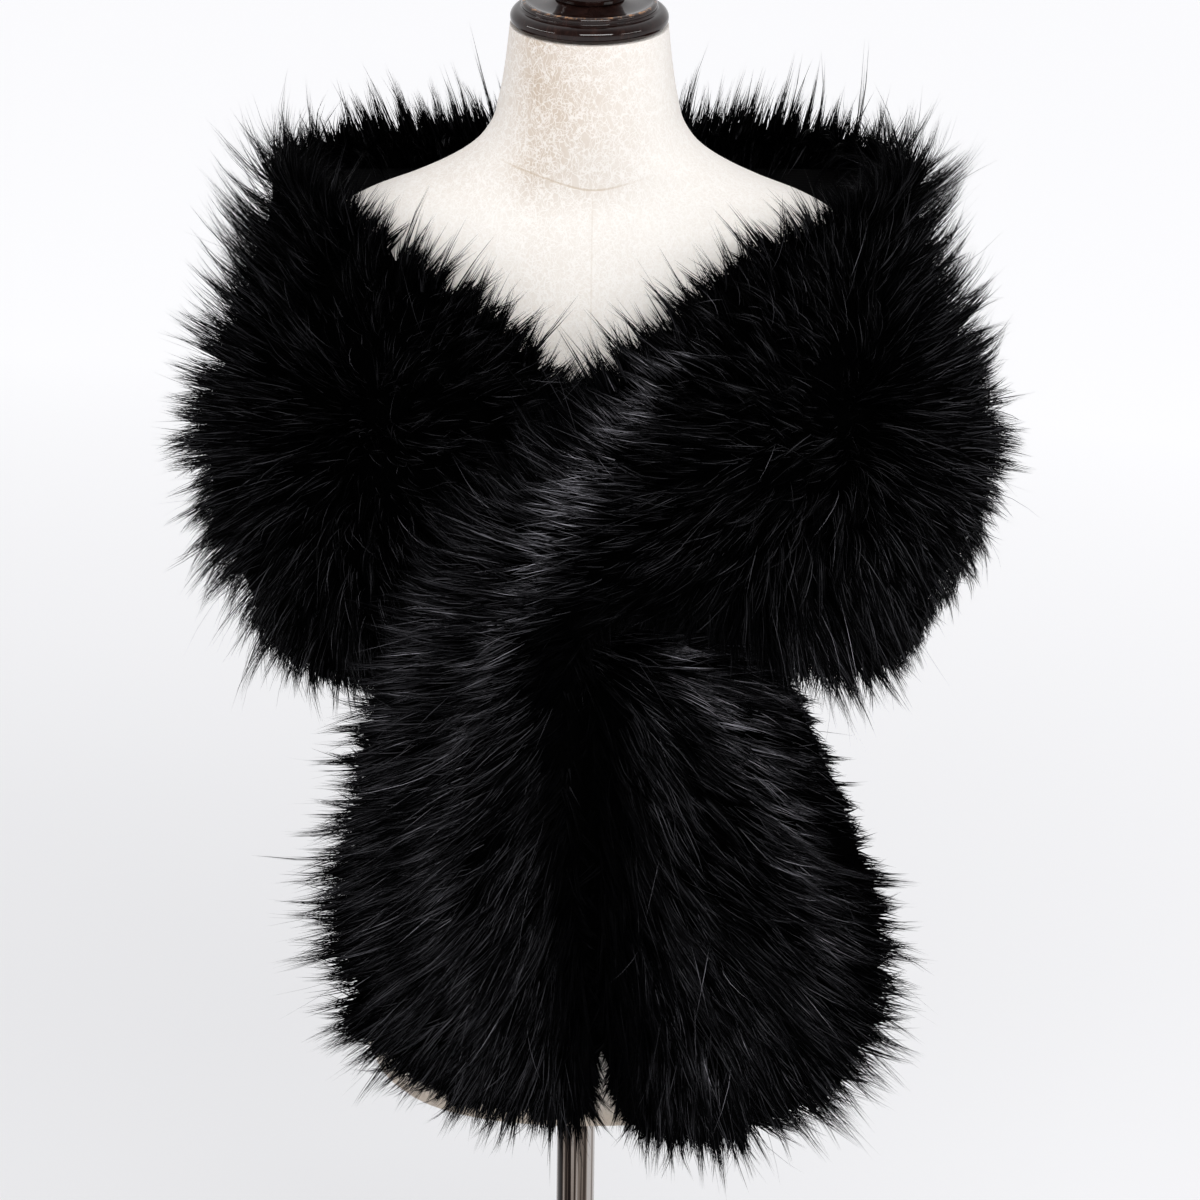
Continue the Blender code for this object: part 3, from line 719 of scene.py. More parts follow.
def toned(stretch, hair, of_clump, faint):
    """Each point's tone: a faint random tone plus the painted sheen there, uneven from hair to
    hair.
    """
    clumps, hairs = of_clump[-1] + 1, len(of_clump)
    aside = random.normal(size=(clumps, 3))[of_clump] * SHEEN_BLUR
    aside = aside + random.normal(size=(hairs, 3)) * SHEEN_BLUR
    each = 0.04 + 0.96 * random.random(hairs) ** SHEEN_CONTRAST
    each = each * (0.45 + 0.65 * random.random(clumps)[of_clump])
    return faint[:, None] + sheen(stretch, hair + aside[:, None]) * each[:, None]


# Painted shade on the hair: how dark it is painted in the parting between the tails, at the upper
# panel's hem, and at most.
PARTING_DARK, HEM_DARK, DARKEST = 0.85, 0.5, 0.93
HEM_DARK_PLACES = (26.2, 30.5)


def painted_shade_factor(place, share):
    """1, or less where painted shade darkens the hair: in the parting between the tails and at the
    upper hem.
    """
    right = falling(place, 6.6, 0.6) * rising(share, 0.76, 0.22)
    left = rising(place, 29.0, 1.0) * rising(share, 0.82, 0.16)
    low, high = HEM_DARK_PLACES
    over_hem = HEM_DARK * rising(share, 0.7, 0.2) * ((place > low) & (place < high))
    return 1 - np.clip(PARTING_DARK * (right + left) + over_hem, 0, DARKEST)


# Where the hem edge is cut back: a place's reach in sections, and how far, in mm.
CORNER_REACH, CORNER_CUT = 1.1, 6
ARM_PLACE, ARM_REACH, ARM_CUT = 23.9, 1.6, 14
CUT_EASE = 1.5


def rounded_off(place, share):
    """How far the hem edge is cut back, in m: at the tails' inner corners and low on one arm."""
    near = peak(place, 0, CORNER_REACH) + peak(place, LAST, CORNER_REACH)
    low = peak(place, ARM_PLACE, ARM_REACH)
    cut = (CORNER_CUT * near**CUT_EASE + ARM_CUT * low) * MM
    return cut * np.clip(2 * share - 1, 0, 1) ** CUT_EASE


def combed(place, share, length, start, count, lift_more=0.0, turn_more=0.0, shift=(0, 0)):
    """Hair paths from their roots: they stand up first, and then lie over with the nap. The
    roots can be shifted along and across the stole, in metres."""
    points, outward, across, along, pile = on_stole(place, share)
    aside = shift[1] - rounded_off(place, share)
    points = points + along * np.reshape(shift[0], (-1, 1)) + across * np.reshape(aside, (-1, 1))
    run, side, lift = nap(place, share)
    size = np.clip(np.hypot(run, side) * 1.15, 0, 1)
    turn = np.arctan2(side, run) + turn_more
    lift = 90 - (90 - lift) * size + lift_more
    length = length * across_rows(place, share, NAP_LENGTHS)
    flat = np.cos(turn)[:, None] * along + np.sin(turn)[:, None] * across
    steep = np.radians(np.clip(lift + ROOT_STEEPER, *ROOT_LIFTS))[:, None]
    low = np.radians(np.clip(lift - TIP_LOWER, *TIP_LIFTS))[:, None]
    first = outward * np.sin(steep) + flat * np.cos(steep)
    second = outward * np.sin(low) + flat * np.cos(low)
    root = points + outward * (CLOTH / 2 + start * pile)[:, None]
    middle = root + first * (BEND_AT * length)[:, None]
    tip = middle + second * ((1 - BEND_AT) * length)[:, None]
    t = steps_along(count)
    curve = (1 - t) ** 2 * root[:, None] + 2 * t * (1 - t) * middle[:, None] + t**2 * tip[:, None]
    return curve, outward, size


# The hair's tips stay near the dense pile's reach: limits in m on either side and front and back.
REACH_LOW = np.array([-0.292, -0.211])
REACH_HIGH = np.array([0.314, 0.183])
HAIR_CLEARANCE = 1.6 * MM
PRESSED_BACK = (1.5, 5.0)  # mm behind the panel that crosses over

# Kinds of hair, in the order in which they are made. Widths, lengths, gather (of a clump) and
# spread (of a tuft) are in mm, least and wobble are shares of a hair's length, and start is a
# share of the pile's depth.
HairKind = namedtuple(
    "HairKind",
    "points width length vary least start wobble lift_vary turn_vary hold ease hairs clumps "
    "gather spread pale",
)
HAIR = {
    "fill": (3, 0.90, 30, 0.20, 0.60, 0.10, 0.06, 8, 0.20, 0.40, 1.1, 12, 4, 3.8, 8.0, 0.0),
    "plain": (4, 0.54, 45, 0.13, 0.60, 0.28, 0.045, 4, 0.08, 0.93, 0.9, 9, 5, 2.7, 7.5, 0.0),
    "long": (5, 0.58, 64, 0.13, 0.66, 0.30, 0.030, 3, 0.06, 0.96, 0.75, 12, 3, 3.0, 7.5, 0.0),
    "stray": (5, 0.34, 60, 0.20, 1.00, 0.30, 0.14, 10, 0.30, 0.0, 1.0, 1, 1, 1.0, 1.0, 0.36),
}
TUFT_LIFT, TUFT_TURN = 4, 0.10  # degrees and radians
CLUMP_LIFT, CLUMP_TURN = 4, 0.09
CLUMP_BEND = 0.09
OUTER_FALL = 0.08  # how much shorter hair is for each spread that it lies out
HOLD_VARY, MOST_HOLD = (0.85, 1.05), 0.985
FAINT_HAIR, FAINT_RIM = (0.46, 4.5), (0.30, 4)  # the tone of hair out of the sheen
TUFT_HOLD, TUFT_EASE = 0.38, 1.4
HAIR_SPIN, RIM_SPIN = 0.62, 0.7  # how far the ribbons are turned about their length, in radians
TAPERS = {3: (0.85, 0.9), 4: (0.8, 1.0, 0.68), 5: (0.75, 1.0, 0.85, 0.5)}
RIM_TAPERS = {3: (2.2, 1.2), 4: (2.0, 1.4, 0.7)}

# Kinds of hair over the edges, whose locks are lifted by low to high degrees; part is the part of
# a stretch's rim hairs that it takes.
RimKind = namedtuple("RimKind", "points width hairs length gather low high part")
RIM = {
    "rim": RimKind(4, 0.60, 12, 48, 2.6, -44, 38, 1),
    "fringe": RimKind(3, 0.84, 6, 31, 3.4, -50, 45, 1),
    "tips": RimKind(4, 0.56, 10, 64, 1.6, -30, 34, 7),
}
NECK, HEM, END = 0, 1, 2
# How likely a lock is at the neck edge, at the hem edge and at a tail's end.
TAIL_CHANCES, BACK_CHANCES, SIDE_CHANCES = (0.30, 0.46, 0.24), (0.68, 0.32, 0), (0.55, 0.45, 0)
# How far they turn from the nap to the edge, and how much less so at a tail's corner and behind.
RIM_FANS, PARTING_FANS = (0.15, 0.9), (0.10, 0.70)
CORNER_FAN, CORNER_NEAR, BACK_FAN = 0.45, 1.3, 0.35
PARTING_LIFTS = (-55, 18)
# Round the neck some of the locks turn in, towards the form.
INNER_PLACES, INNER_CHANCE, INNER_LIFTS = (12.6, 23.4), 0.40, (-125, -60)
INNER_LENGTH = 0.85
# How far out on the pile's reach over an edge they are rooted, and how much further out behind
# the neck and where the panels cross.
RIM_OUT, BACK_OUT, CROSSING_OUT = (0.0, 0.22), (0.25, 0.75), (0.0, 0.3)
END_REACH = 13 * MM
EDGE_INSIDE = 0.015
RIM_RISES, RIM_RATIOS, RIM_HOLDS, RIM_EASE = (0.02, 0.36), (0.5, 1.0), (0.80, 0.98), 0.85
RIM_LENGTH_VARY, RIM_LIFT_VARY, RIM_FALL, MOST_TURN = 0.14, 6, 0.10, 2.2
RIM_BEND, RIM_WOBBLE = 4.5, 1.0  # mm


def steps_along(count):
    return np.linspace(0, 1, count)[None, :, None]


def part_way(paths, shares):
    """The points at some shares of the way along each path."""
    last = paths.shape[1] - 1
    at = np.clip(shares, 0, 1) * last
    low = np.minimum(at.astype(int), last - 1)
    part = (at - low)[..., None]
    row = np.arange(len(paths))[:, None]
    return paths[row, low] * (1 - part) + paths[row, low + 1] * part


def drawn_in(hair, lead, ratio, hold, ease):
    """The hairs drawn towards their clump's path, more and more towards their tips."""
    t = steps_along(hair.shape[1])
    lead = part_way(lead, t[..., 0] * ratio[:, None])
    return hair + (lead - hair) * hold * (t * ratio[:, None, None]) ** ease


def scattered(stretch, count, hidden):
    """Places and shares spread evenly over a stretch's area, but not well under the panel."""
    first, last = (int(round(x / GRID_STEP)) for x in (stretch.first, stretch.last))
    points = GRID_POINTS[first : last + 1]
    step = points[1:, :-1] - points[:-1, :-1], points[:-1, 1:] - points[:-1, :-1]
    area = np.linalg.norm(np.cross(*step), axis=2)
    if hidden:
        area = area * ~panel_at(points[:-1, :-1], WELL_UNDER)
    total = np.cumsum(area.ravel())
    pick = (np.arange(count) + random.random(count)) / count * total[-1]
    cell = np.minimum(np.searchsorted(total, pick), area.size - 1)
    i, j = np.unravel_index(cell, area.shape)
    place = (first + i + random.random(count)) * GRID_STEP
    share = (j + random.random(count)) / (len(GRID_SHARES) - 1)
    order = random.permutation(count)
    return place[order], share[order]


def grouped(place, share, spread, count):
    """count roots round each place and share, spread in metres over the cloth, and how far
    out each one is for its group."""
    rows = stole_rows(np.clip(place, 0, LAST))
    width = np.linalg.norm(rows[:, 3:6] - rows[:, 0:3], axis=1)
    pace = np.interp(place, np.arange(len(STEPS)) + 0.5, STEPS)
    offsets = random.normal(size=(len(place), count, 2)) * spread
    place = place[:, None] + offsets[..., 0] / pace[:, None]
    share = share[:, None] + offsets[..., 1] / width[:, None]
    out = (np.linalg.norm(offsets, axis=2) / spread).ravel()
    return np.clip(place, 0, LAST).ravel(), np.clip(share, 0, 1).ravel(), out


def kept_in(hair):
    """The hairs that would reach too far, each drawn in towards its root by its own amount."""
    root, far = hair[:, :1, :2], hair[..., :2]
    beyond = np.maximum((far - root) / np.maximum(REACH_HIGH - root, 1e-4), 0)
    beyond = np.maximum(beyond, (root - far) / np.maximum(root - REACH_LOW, 1e-4))
    worst = beyond.max(axis=(1, 2))
    scale = np.where(worst > 1, random.uniform(0.80, 1.0, len(hair)) / worst, 1)
    return hair[:, :1] + (hair - hair[:, :1]) * scale[:, None, None]


def finished(hair, outward, width, spin, hidden, tone, taper):
    """One batch for ribbons(): hairs off the form, behind the panel and within reach."""
    hairs = len(hair)
    hair = outside_form(kept_in(hair), HAIR_CLEARANCE)
    if hidden:
        hair = behind_panel(hair, random.uniform(*PRESSED_BACK, (hairs, 1)) * MM)
    tangent = unit(np.gradient(hair, axis=1))
    turn = random.normal(0, spin, hairs)[:, None, None]
    side = unit(np.cross(tangent, outward[:, None]))
    side = side * np.cos(turn) + np.cross(side, tangent) * np.sin(turn)
    widths = width * MM * random.uniform(0.65, 1.15, (hairs, 1)) * np.array(taper)[None]
    return hair, widths, side, np.clip(tone, 0.01, 0.99)


def hair_batch(stretch, name, total, hidden):
    """Hair of one kind in clumps, and the clumps in tufts."""
    kind = HairKind(*HAIR[name])
    tufts = max(1, total // (kind.hairs * kind.clumps))
    tuft_place, tuft_share = scattered(stretch, tufts, hidden)
    clump_place, clump_share, off_tuft = grouped(
        tuft_place, tuft_share, kind.spread * MM, kind.clumps
    )
    hair_place, hair_share, off_clump = grouped(
        clump_place, clump_share, kind.gather * MM, kind.hairs
    )
    clumps, hairs = len(clump_place), len(hair_place)
    of_clump = np.repeat(np.arange(clumps), kind.hairs)
    of_tuft = np.repeat(np.arange(tufts), kind.clumps)

    tuft_length = kind.length * MM * random.normal(1.02, kind.vary * 0.7, tufts)
    tuft_lift = random.normal(0, TUFT_LIFT, tufts)
    tuft_turn = random.normal(0, TUFT_TURN, tufts)
    clump_length = tuft_length[of_tuft] * random.normal(1, kind.vary * 0.7, clumps)
    clump_lift = tuft_lift[of_tuft] + random.normal(0, CLUMP_LIFT, clumps)
    clump_turn = tuft_turn[of_tuft] + random.normal(0, CLUMP_TURN, clumps)
    clump_length *= np.clip(1.10 - OUTER_FALL * off_tuft, 0.7, 1.1)
    ratio = random.uniform(kind.least, 1.0, hairs)
    ratio = ratio * np.clip(1.05 - OUTER_FALL * off_clump, 0.7, 1)
    length = clump_length[of_clump] * ratio
    lift = clump_lift[of_clump] + random.normal(0, kind.lift_vary, hairs)
    turn = clump_turn[of_clump] + random.normal(0, kind.turn_vary, hairs)

    def paths(place, share, long, lift, turn):
        start = np.full(len(place), kind.start)
        return combed(place, share, long, start, kind.points, lift, turn)

    tuft = paths(tuft_place, tuft_share, tuft_length, tuft_lift, tuft_turn)[0]
    clump = paths(clump_place, clump_share, clump_length, clump_lift, clump_turn)[0]
    hair, outward, size = paths(hair_place, hair_share, length, lift, turn)
    t = steps_along(kind.points)
    clump += (tuft[of_tuft] - clump) * TUFT_HOLD * t**TUFT_EASE
    bend = random.normal(size=(clumps, 1, 3)) * (clump_length * CLUMP_BEND)[:, None, None]
    clump += bend * (t**2 - 0.3 * t)
    hold = kind.hold * random.uniform(*HOLD_VARY, hairs) * (0.35 + 0.65 * size)
    hold = np.clip(hold, 0, MOST_HOLD)[:, None, None]
    hair = drawn_in(hair, clump[of_clump], ratio, hold, kind.ease)
    sway = random.normal(size=(hairs, 1, 3)) * (length * kind.wobble)[:, None, None]
    hair += sway * (t**2 - 0.35 * t)

    faint = FAINT_HAIR[0] * random.random(hairs) ** FAINT_HAIR[1]
    faint = faint + kind.pale * random.random(hairs)
    # The tone carries the painted sheen, darkened by painted shade in the parting and at the upper
    # hem.
    tone = toned(stretch, hair, of_clump, faint) * painted_shade_factor(hair_place, hair_share)[:, None]
    return finished(hair, outward, kind.width, HAIR_SPIN, hidden, tone, TAPERS[kind.points])


def rim_batch(stretch, name, total, hidden):
    """Locks that turn over the two edges and the tails' ends, so that no cloth edge shows."""
    kind = RIM[name]
    clumps = total // kind.hairs
    tail = stretch.first == 0 or stretch.last == LAST
    chances = BACK_CHANCES if stretch.name == "back" else SIDE_CHANCES
    edge = random.choice(3, clumps, p=TAIL_CHANCES if tail else chances)
    end = 0 if stretch.first == 0 else LAST
    at = random.uniform(stretch.first, stretch.last, clumps)
    at = np.where(edge == END, end, at)
    inside = random.uniform(0, EDGE_INSIDE, clumps)
    level = np.choose(edge, (inside, 1 - inside, random.random(clumps)))
    aim = np.choose(edge, (-math.pi / 2, math.pi / 2, math.pi if end == 0 else 0.0))

    parting = tail & (edge == HEM)
    near_end = np.abs(at - end) < CORNER_NEAR
    inner = (at > INNER_PLACES[0]) & (at < INNER_PLACES[1]) & (edge == NECK)
    inner = inner & (random.random(clumps) < INNER_CHANCE)
    lift = random.uniform(kind.low, kind.high, clumps)
    lift = np.where(parting, random.uniform(*PARTING_LIFTS, clumps), lift)
    lift = np.where(inner, random.uniform(*INNER_LIFTS, clumps), lift)
    fans = random.uniform(*PARTING_FANS, clumps), random.uniform(*RIM_FANS, clumps)
    fan = np.where(parting, *fans)
    fan = np.where(parting & near_end, fan * CORNER_FAN, fan)
    clump_length = kind.length * MM * random.normal(1, RIM_LENGTH_VARY, clumps)
    clump_length = clump_length * np.where(inner, INNER_LENGTH, 1)
    rows = stole_rows(at)
    back, over = at_back(at) * (edge == NECK), at_crossing(at) * (edge == NECK)
    fan = fan * (1 - (1 - BACK_FAN) * back)
    beyond = random.uniform(*RIM_OUT, clumps) + random.uniform(*BACK_OUT, clumps) * back
    beyond = beyond + random.uniform(*CROSSING_OUT, clumps) * over
    ahead = np.where(edge == END, END_REACH * beyond * (-1 if end == 0 else 1), 0.0)
    aside = np.choose(edge, (-rows[:, NECK_REACH], rows[:, HEM_REACH], 0 * at)) * beyond
    rise = random.uniform(*RIM_RISES, clumps)

    of_clump = np.repeat(np.arange(clumps), kind.hairs)
    hairs = len(of_clump)

    def paths(place, share, length, lift, of):
        run, side, lift_here = nap(place, share)
        turn = (aim[of] - np.arctan2(side, run) + math.pi) % (2 * math.pi) - math.pi
        turn = np.clip(turn, -MOST_TURN, MOST_TURN) * fan[of]
        shift = ahead[of], aside[of]
        return combed(place, share, length, rise[of], kind.points, lift - lift_here, turn, shift)

    clump = paths(at, level, clump_length, lift, np.arange(clumps))[0]
    place, share, out = grouped(at, level, kind.gather * MM, kind.hairs)
    ratio = random.uniform(*RIM_RATIOS, hairs) * np.clip(1.05 - RIM_FALL * out, 0.6, 1)
    length = clump_length[of_clump] * ratio
    lift = lift[of_clump] + random.normal(0, RIM_LIFT_VARY, hairs)
    hair, outward, _ = paths(place, share, length, lift, of_clump)
    t = steps_along(kind.points)
    clump += random.normal(size=(clumps, 1, 3)) * RIM_BEND * MM * (t**2 - 0.3 * t)
    hold = random.uniform(*RIM_HOLDS, (hairs, 1, 1))
    hair = drawn_in(hair, clump[of_clump], ratio, hold, RIM_EASE)
    hair += random.normal(size=(hairs, 1, 3)) * RIM_WOBBLE * MM * t**2
    faint = FAINT_RIM[0] * random.random(hairs) ** FAINT_RIM[1]
    # Painted shade in the parting, weaker on these locks.
    dim = 0.25 + 0.75 * painted_shade_factor(place, share)[:, None]
    tone = toned(stretch, hair, of_clump, faint) * dim
    return finished(hair, outward, kind.width, RIM_SPIN, hidden, tone, RIM_TAPERS[kind.points])


def make_hair(stretch, surface):
    hidden = stretch.name in LOWER_STRETCHES
    totals = stretch._asdict()
    batches = [hair_batch(stretch, name, totals[name], hidden) for name in HAIR]
    batches += [rim_batch(stretch, name, stretch.rim // RIM[name].part, hidden) for name in RIM]
    return ribbons(f"hair_{stretch.name}", batches, surface)


# ---------------------------------------------------------------- cloth and undercoat

WOOL_RIMS = 4
WOOL_COLUMNS = 18
WOOL_ROWS = 5  # for each section
WOOL_SHARE = 0.46  # of the pile's depth
WOOL_FLOOR = CLOTH / 2 + 0.3 * MM
LUMPS = 1.7 * MM
LUMP_SIZES = (0.021, 0.011)
WOOL_LEAST = 0.5 * MM
WOOL_REACH = 0.22  # of the pile's reach over the edges
WOOL_END = 4 * MM
WOOL_PRESSED = 2.5 * MM  # behind the panel that crosses over
PARTING_OVERLAP, PARTING_REACH, BEHIND_REACH = 0.8 * MM, 11 * MM, 13 * MM
STOLE_WIDTH = 0.22
END_TURNS = np.array([0.45, 0.85, 1.15, 1.4])
BACKING_GRID = (42, 17)
CREASES, CREASE_SIZE = 0.8, 0.055


def uneven(places, shares, size, seed):
    """A soft uneven field over the stole, from about -1 to 1, with features of some size in m."""
    u = np.interp(places, range(len(STOLE)), STOLE_KNOTS)[:, None] / size
    v = shares[None, :] * STOLE_WIDTH / size
    field = np.zeros((len(places), len(shares)))
    source = np.random.default_rng(seed)
    for _ in range(7):
        angle, phase = source.uniform(0, 2 * math.pi, 2)
        pitch = source.uniform(0.6, 1.7)
        field += np.sin(pitch * (u * math.cos(angle) + v * math.sin(angle)) * 2 * math.pi + phase)
    return field / 4


def make_backing(stretch, surface):
    """The backing cloth: a thin shell on the CAD's middle surface, with soft uneven creases."""
    places = np.linspace(stretch.first, stretch.last, BACKING_GRID[0])
    shares = np.linspace(0, 1, BACKING_GRID[1])
    middle, outward, across = cloth_frame(places, shares)
    crease = uneven(places, shares, CREASE_SIZE, 7) * CREASES * MM
    ends = np.minimum((places - stretch.first), (stretch.last - places)) / 0.5
    edge = np.minimum(shares, 1 - shares) * 8
    calm = np.clip(ends, 0, 1)[:, None] * np.clip(edge, 0, 1)[None, :]
    middle = middle + outward * (crease * calm)[..., None]
    middle = middle - across * rounded_off(places[:, None], shares[None, :])[..., None]
    half = outward * (CLOTH / 2 - 0.05 * MM)
    return solid_between(f"backing_{stretch.name}", middle - half, middle + half, surface)


def at_back(places):
    """1 across the back, where the pile stands up over the neck edge, and 0 at the front."""
    return falling(np.abs(places - 18), 3.6, 1.2)


def at_crossing(places):
    """1 where the upper panel's neck edge crosses the front, and 0 away from there."""
    return peak(places, 27.8, 1.5)


def to_parting(stretch, places):
    """How far each tail's wool reaches over its hem edge, to meet the other tail's wool."""
    lower = stretch.name in LOWER_STRETCHES
    others = STOLE_TABLE[: LAST - 7 : -1] if lower else STOLE_TABLE[:8]
    rows = stole_rows(places)
    height = rows[:, HEM_Z]
    gap = np.abs(rows[:, HEM_X] - np.interp(height, others[:, HEM_Z], others[:, HEM_X]))
    closed = rising(height, 0.405, 0.035) * falling(height, 0.715, 0.012)
    near = falling(places, 7.6, 0.6) + rising(places, 28.6, 0.6)
    reach = np.clip(gap / 2 + PARTING_OVERLAP, 0, PARTING_REACH)
    if lower:  # high up it goes on behind the panel that lies over it
        reach = reach + (gap / 2 + BEHIND_REACH) * rising(height, 0.575, 0.03)
    return reach * closed * near


def blunted(share):
    return BLUNT + (1 - BLUNT) * share


def make_undercoat(stretch, surface):
    """The dense short wool under the hair: about half of the pile's depth, and lumpy."""
    rows = WOOL_ROWS * (stretch.last - stretch.first) + 1
    places, turns = np.linspace(stretch.first, stretch.last, rows), np.zeros(rows)
    if stretch.first == 0:
        places = np.concatenate([0 * END_TURNS, places])
        turns = np.concatenate([-END_TURNS[::-1], turns])
    if stretch.last == LAST:
        places = np.concatenate([places, 0 * END_TURNS + LAST])
        turns = np.concatenate([turns, END_TURNS])
    past = np.sin(np.linspace(0, math.pi / 2, WOOL_RIMS + 1))[1:]
    share = np.concatenate([0 * past, np.linspace(0, 1, WOOL_COLUMNS), 0 * past + 1])
    beyond = np.concatenate([-past[::-1], np.zeros(WOOL_COLUMNS), past])
    grow = blunted(np.cos(turns))[:, None]
    full = blunted(np.sqrt(1 - beyond**2)) * grow

    points, outward, across = cloth_frame(places, share)
    table = stole_rows(places)
    standing = (1 - WOOL_REACH) * at_back(places) + 0.1 * at_crossing(places)
    neck_reach = table[:, NECK_REACH] * (WOOL_REACH + standing)
    hem_reach = np.maximum(table[:, HEM_REACH] * WOOL_REACH, to_parting(stretch, places))
    reach = np.where(beyond < 0, neck_reach[:, None], hem_reach[:, None]) * beyond * grow
    reach = reach - rounded_off(places[:, None], share[None, :])
    forward = np.cross(across, outward) * (np.sin(turns) * WOOL_END)[:, None, None]
    middle = points + reach[:, :, None] * across + forward

    broad, fine = (uneven(places, share, size, seed) for size, seed in zip(LUMP_SIZES, (3, 5)))
    lumps = broad + 0.6 * fine
    tucked = peak(places, 23.3, 1.7)[:, None] * rising(share, 0.5, 0.4)
    top = table[:, PILE, None] * WOOL_SHARE * (1 - 0.7 * tucked) + lumps * LUMPS
    half = np.maximum((top - WOOL_FLOOR) / 2 * full, WOOL_LEAST)
    centre = (WOOL_FLOOR + top) / 2
    inner = outside_form(middle + (centre - half)[:, :, None] * outward)
    outer = outside_form(middle + (centre + half)[:, :, None] * outward)
    if stretch.name in LOWER_STRETCHES:
        outer = behind_panel(outer, WOOL_PRESSED)
        outer[..., 1] = np.minimum(outer[..., 1], inner[..., 1] - 0.3 * MM)
    return solid_between(f"undercoat_{stretch.name}", inner, outer, surface)


# ---------------------------------------------------------------- materials


def hair_material():
    n = new_material("black_fur_hair")
    split = n.add("SeparateXYZ", {0: n.add("UVMap", uv_map=HAIR_MAP).outputs["UV"]})
    tone, rise = split.outputs["X"], split.outputs["Y"]
    # Painted highlight and shade along each hair: dark at the root, brightest past the middle where
    # the hair bends over, and darker at the tip.
    along = n.ramp(rise, (0.0, 0.25), (0.35, 0.85), (0.65, 1.0), (1.0, 0.5))
    # Near black for most hair; the painted sheen in the tone lifts the base colour to a pale
    # grey-violet, and also raises the specular level.
    each = n.ramp(
        tone,
        (0.0, 0.0003, 0.0003, 0.0004),
        (0.2, 0.0040, 0.0040, 0.0044),
        (0.5, 0.055, 0.054, 0.060),
        (1.0, 0.36, 0.352, 0.39),
    )
    n.set(
        Base_Color=n.mixed(1.0, each, along, blend_type="MULTIPLY"),
        Roughness=n.ranged(tone, 0, 1, 0.46, 0.36),
        Specular_IOR_Level=n.ranged(tone, 0.05, 1, 0.012, 0.60),
        Specular_Tint=(0.90, 0.89, 1.0, 1.0),
    )
    return n.owner


def undercoat_material():
    n = new_material("black_fur_undercoat")
    fine = n.noise(n.coordinates((1, 1, 0.35)), 900, 4, 0.7)
    colour = n.ramp(fine, (0.3, 0.0001), (0.7, 0.0009, 0.0009, 0.0010))
    n.set(Base_Color=colour, Roughness=0.95, Specular_IOR_Level=0.004)
    n.bumped(fine, 0.8, 0.002)
    return n.owner


def backing_material():
    n = new_material("black_backing_knit")
    where = n.coordinates()
    knit = {"Vector": where, "Scale": 190.0, "Distortion": 1.6, "Detail": 2.0, "Detail Scale": 2.5}
    rows = n.add("TexWave", knit, wave_type="BANDS", bands_direction="Z").outputs["Fac"]
    fuzz = n.noise(where, 1400, 3, 0.6)
    height = n.plus(n.times(rows, 0.6), n.times(fuzz, 0.5))
    colour = n.ramp(height, (0.2, 0.0012, 0.0012, 0.0013), (0.9, 0.0042, 0.0042, 0.0046))
    n.set(Base_Color=colour, Roughness=0.92, Specular_IOR_Level=0.08)
    n.bumped(height, 0.5, 0.0006)
    return n.owner


# The cover's fibres: scale, width, turn, and how far they are swayed.
FIBRES = (
    (130.0, 0.036, (0.0, 0.7, 0.3), 0.016),
    (95.0, 0.024, (0.4, -0.8, 1.1), 0.022),
    (165.0, 0.042, (1.2, 0.2, -0.6), 0.014),
    (110.0, 0.027, (-0.9, 1.3, 0.5), 0.020),
)
# The neck seam: its height, dip and the width of the dip's round bottom; the centre seam's place.
SEAM_MIDDLE, SEAM_HEIGHT, SEAM_SLOPE, SEAM_ROUND = 0.004, 0.9861, 0.36, 0.000225
CENTRE_SEAM = 0.0035


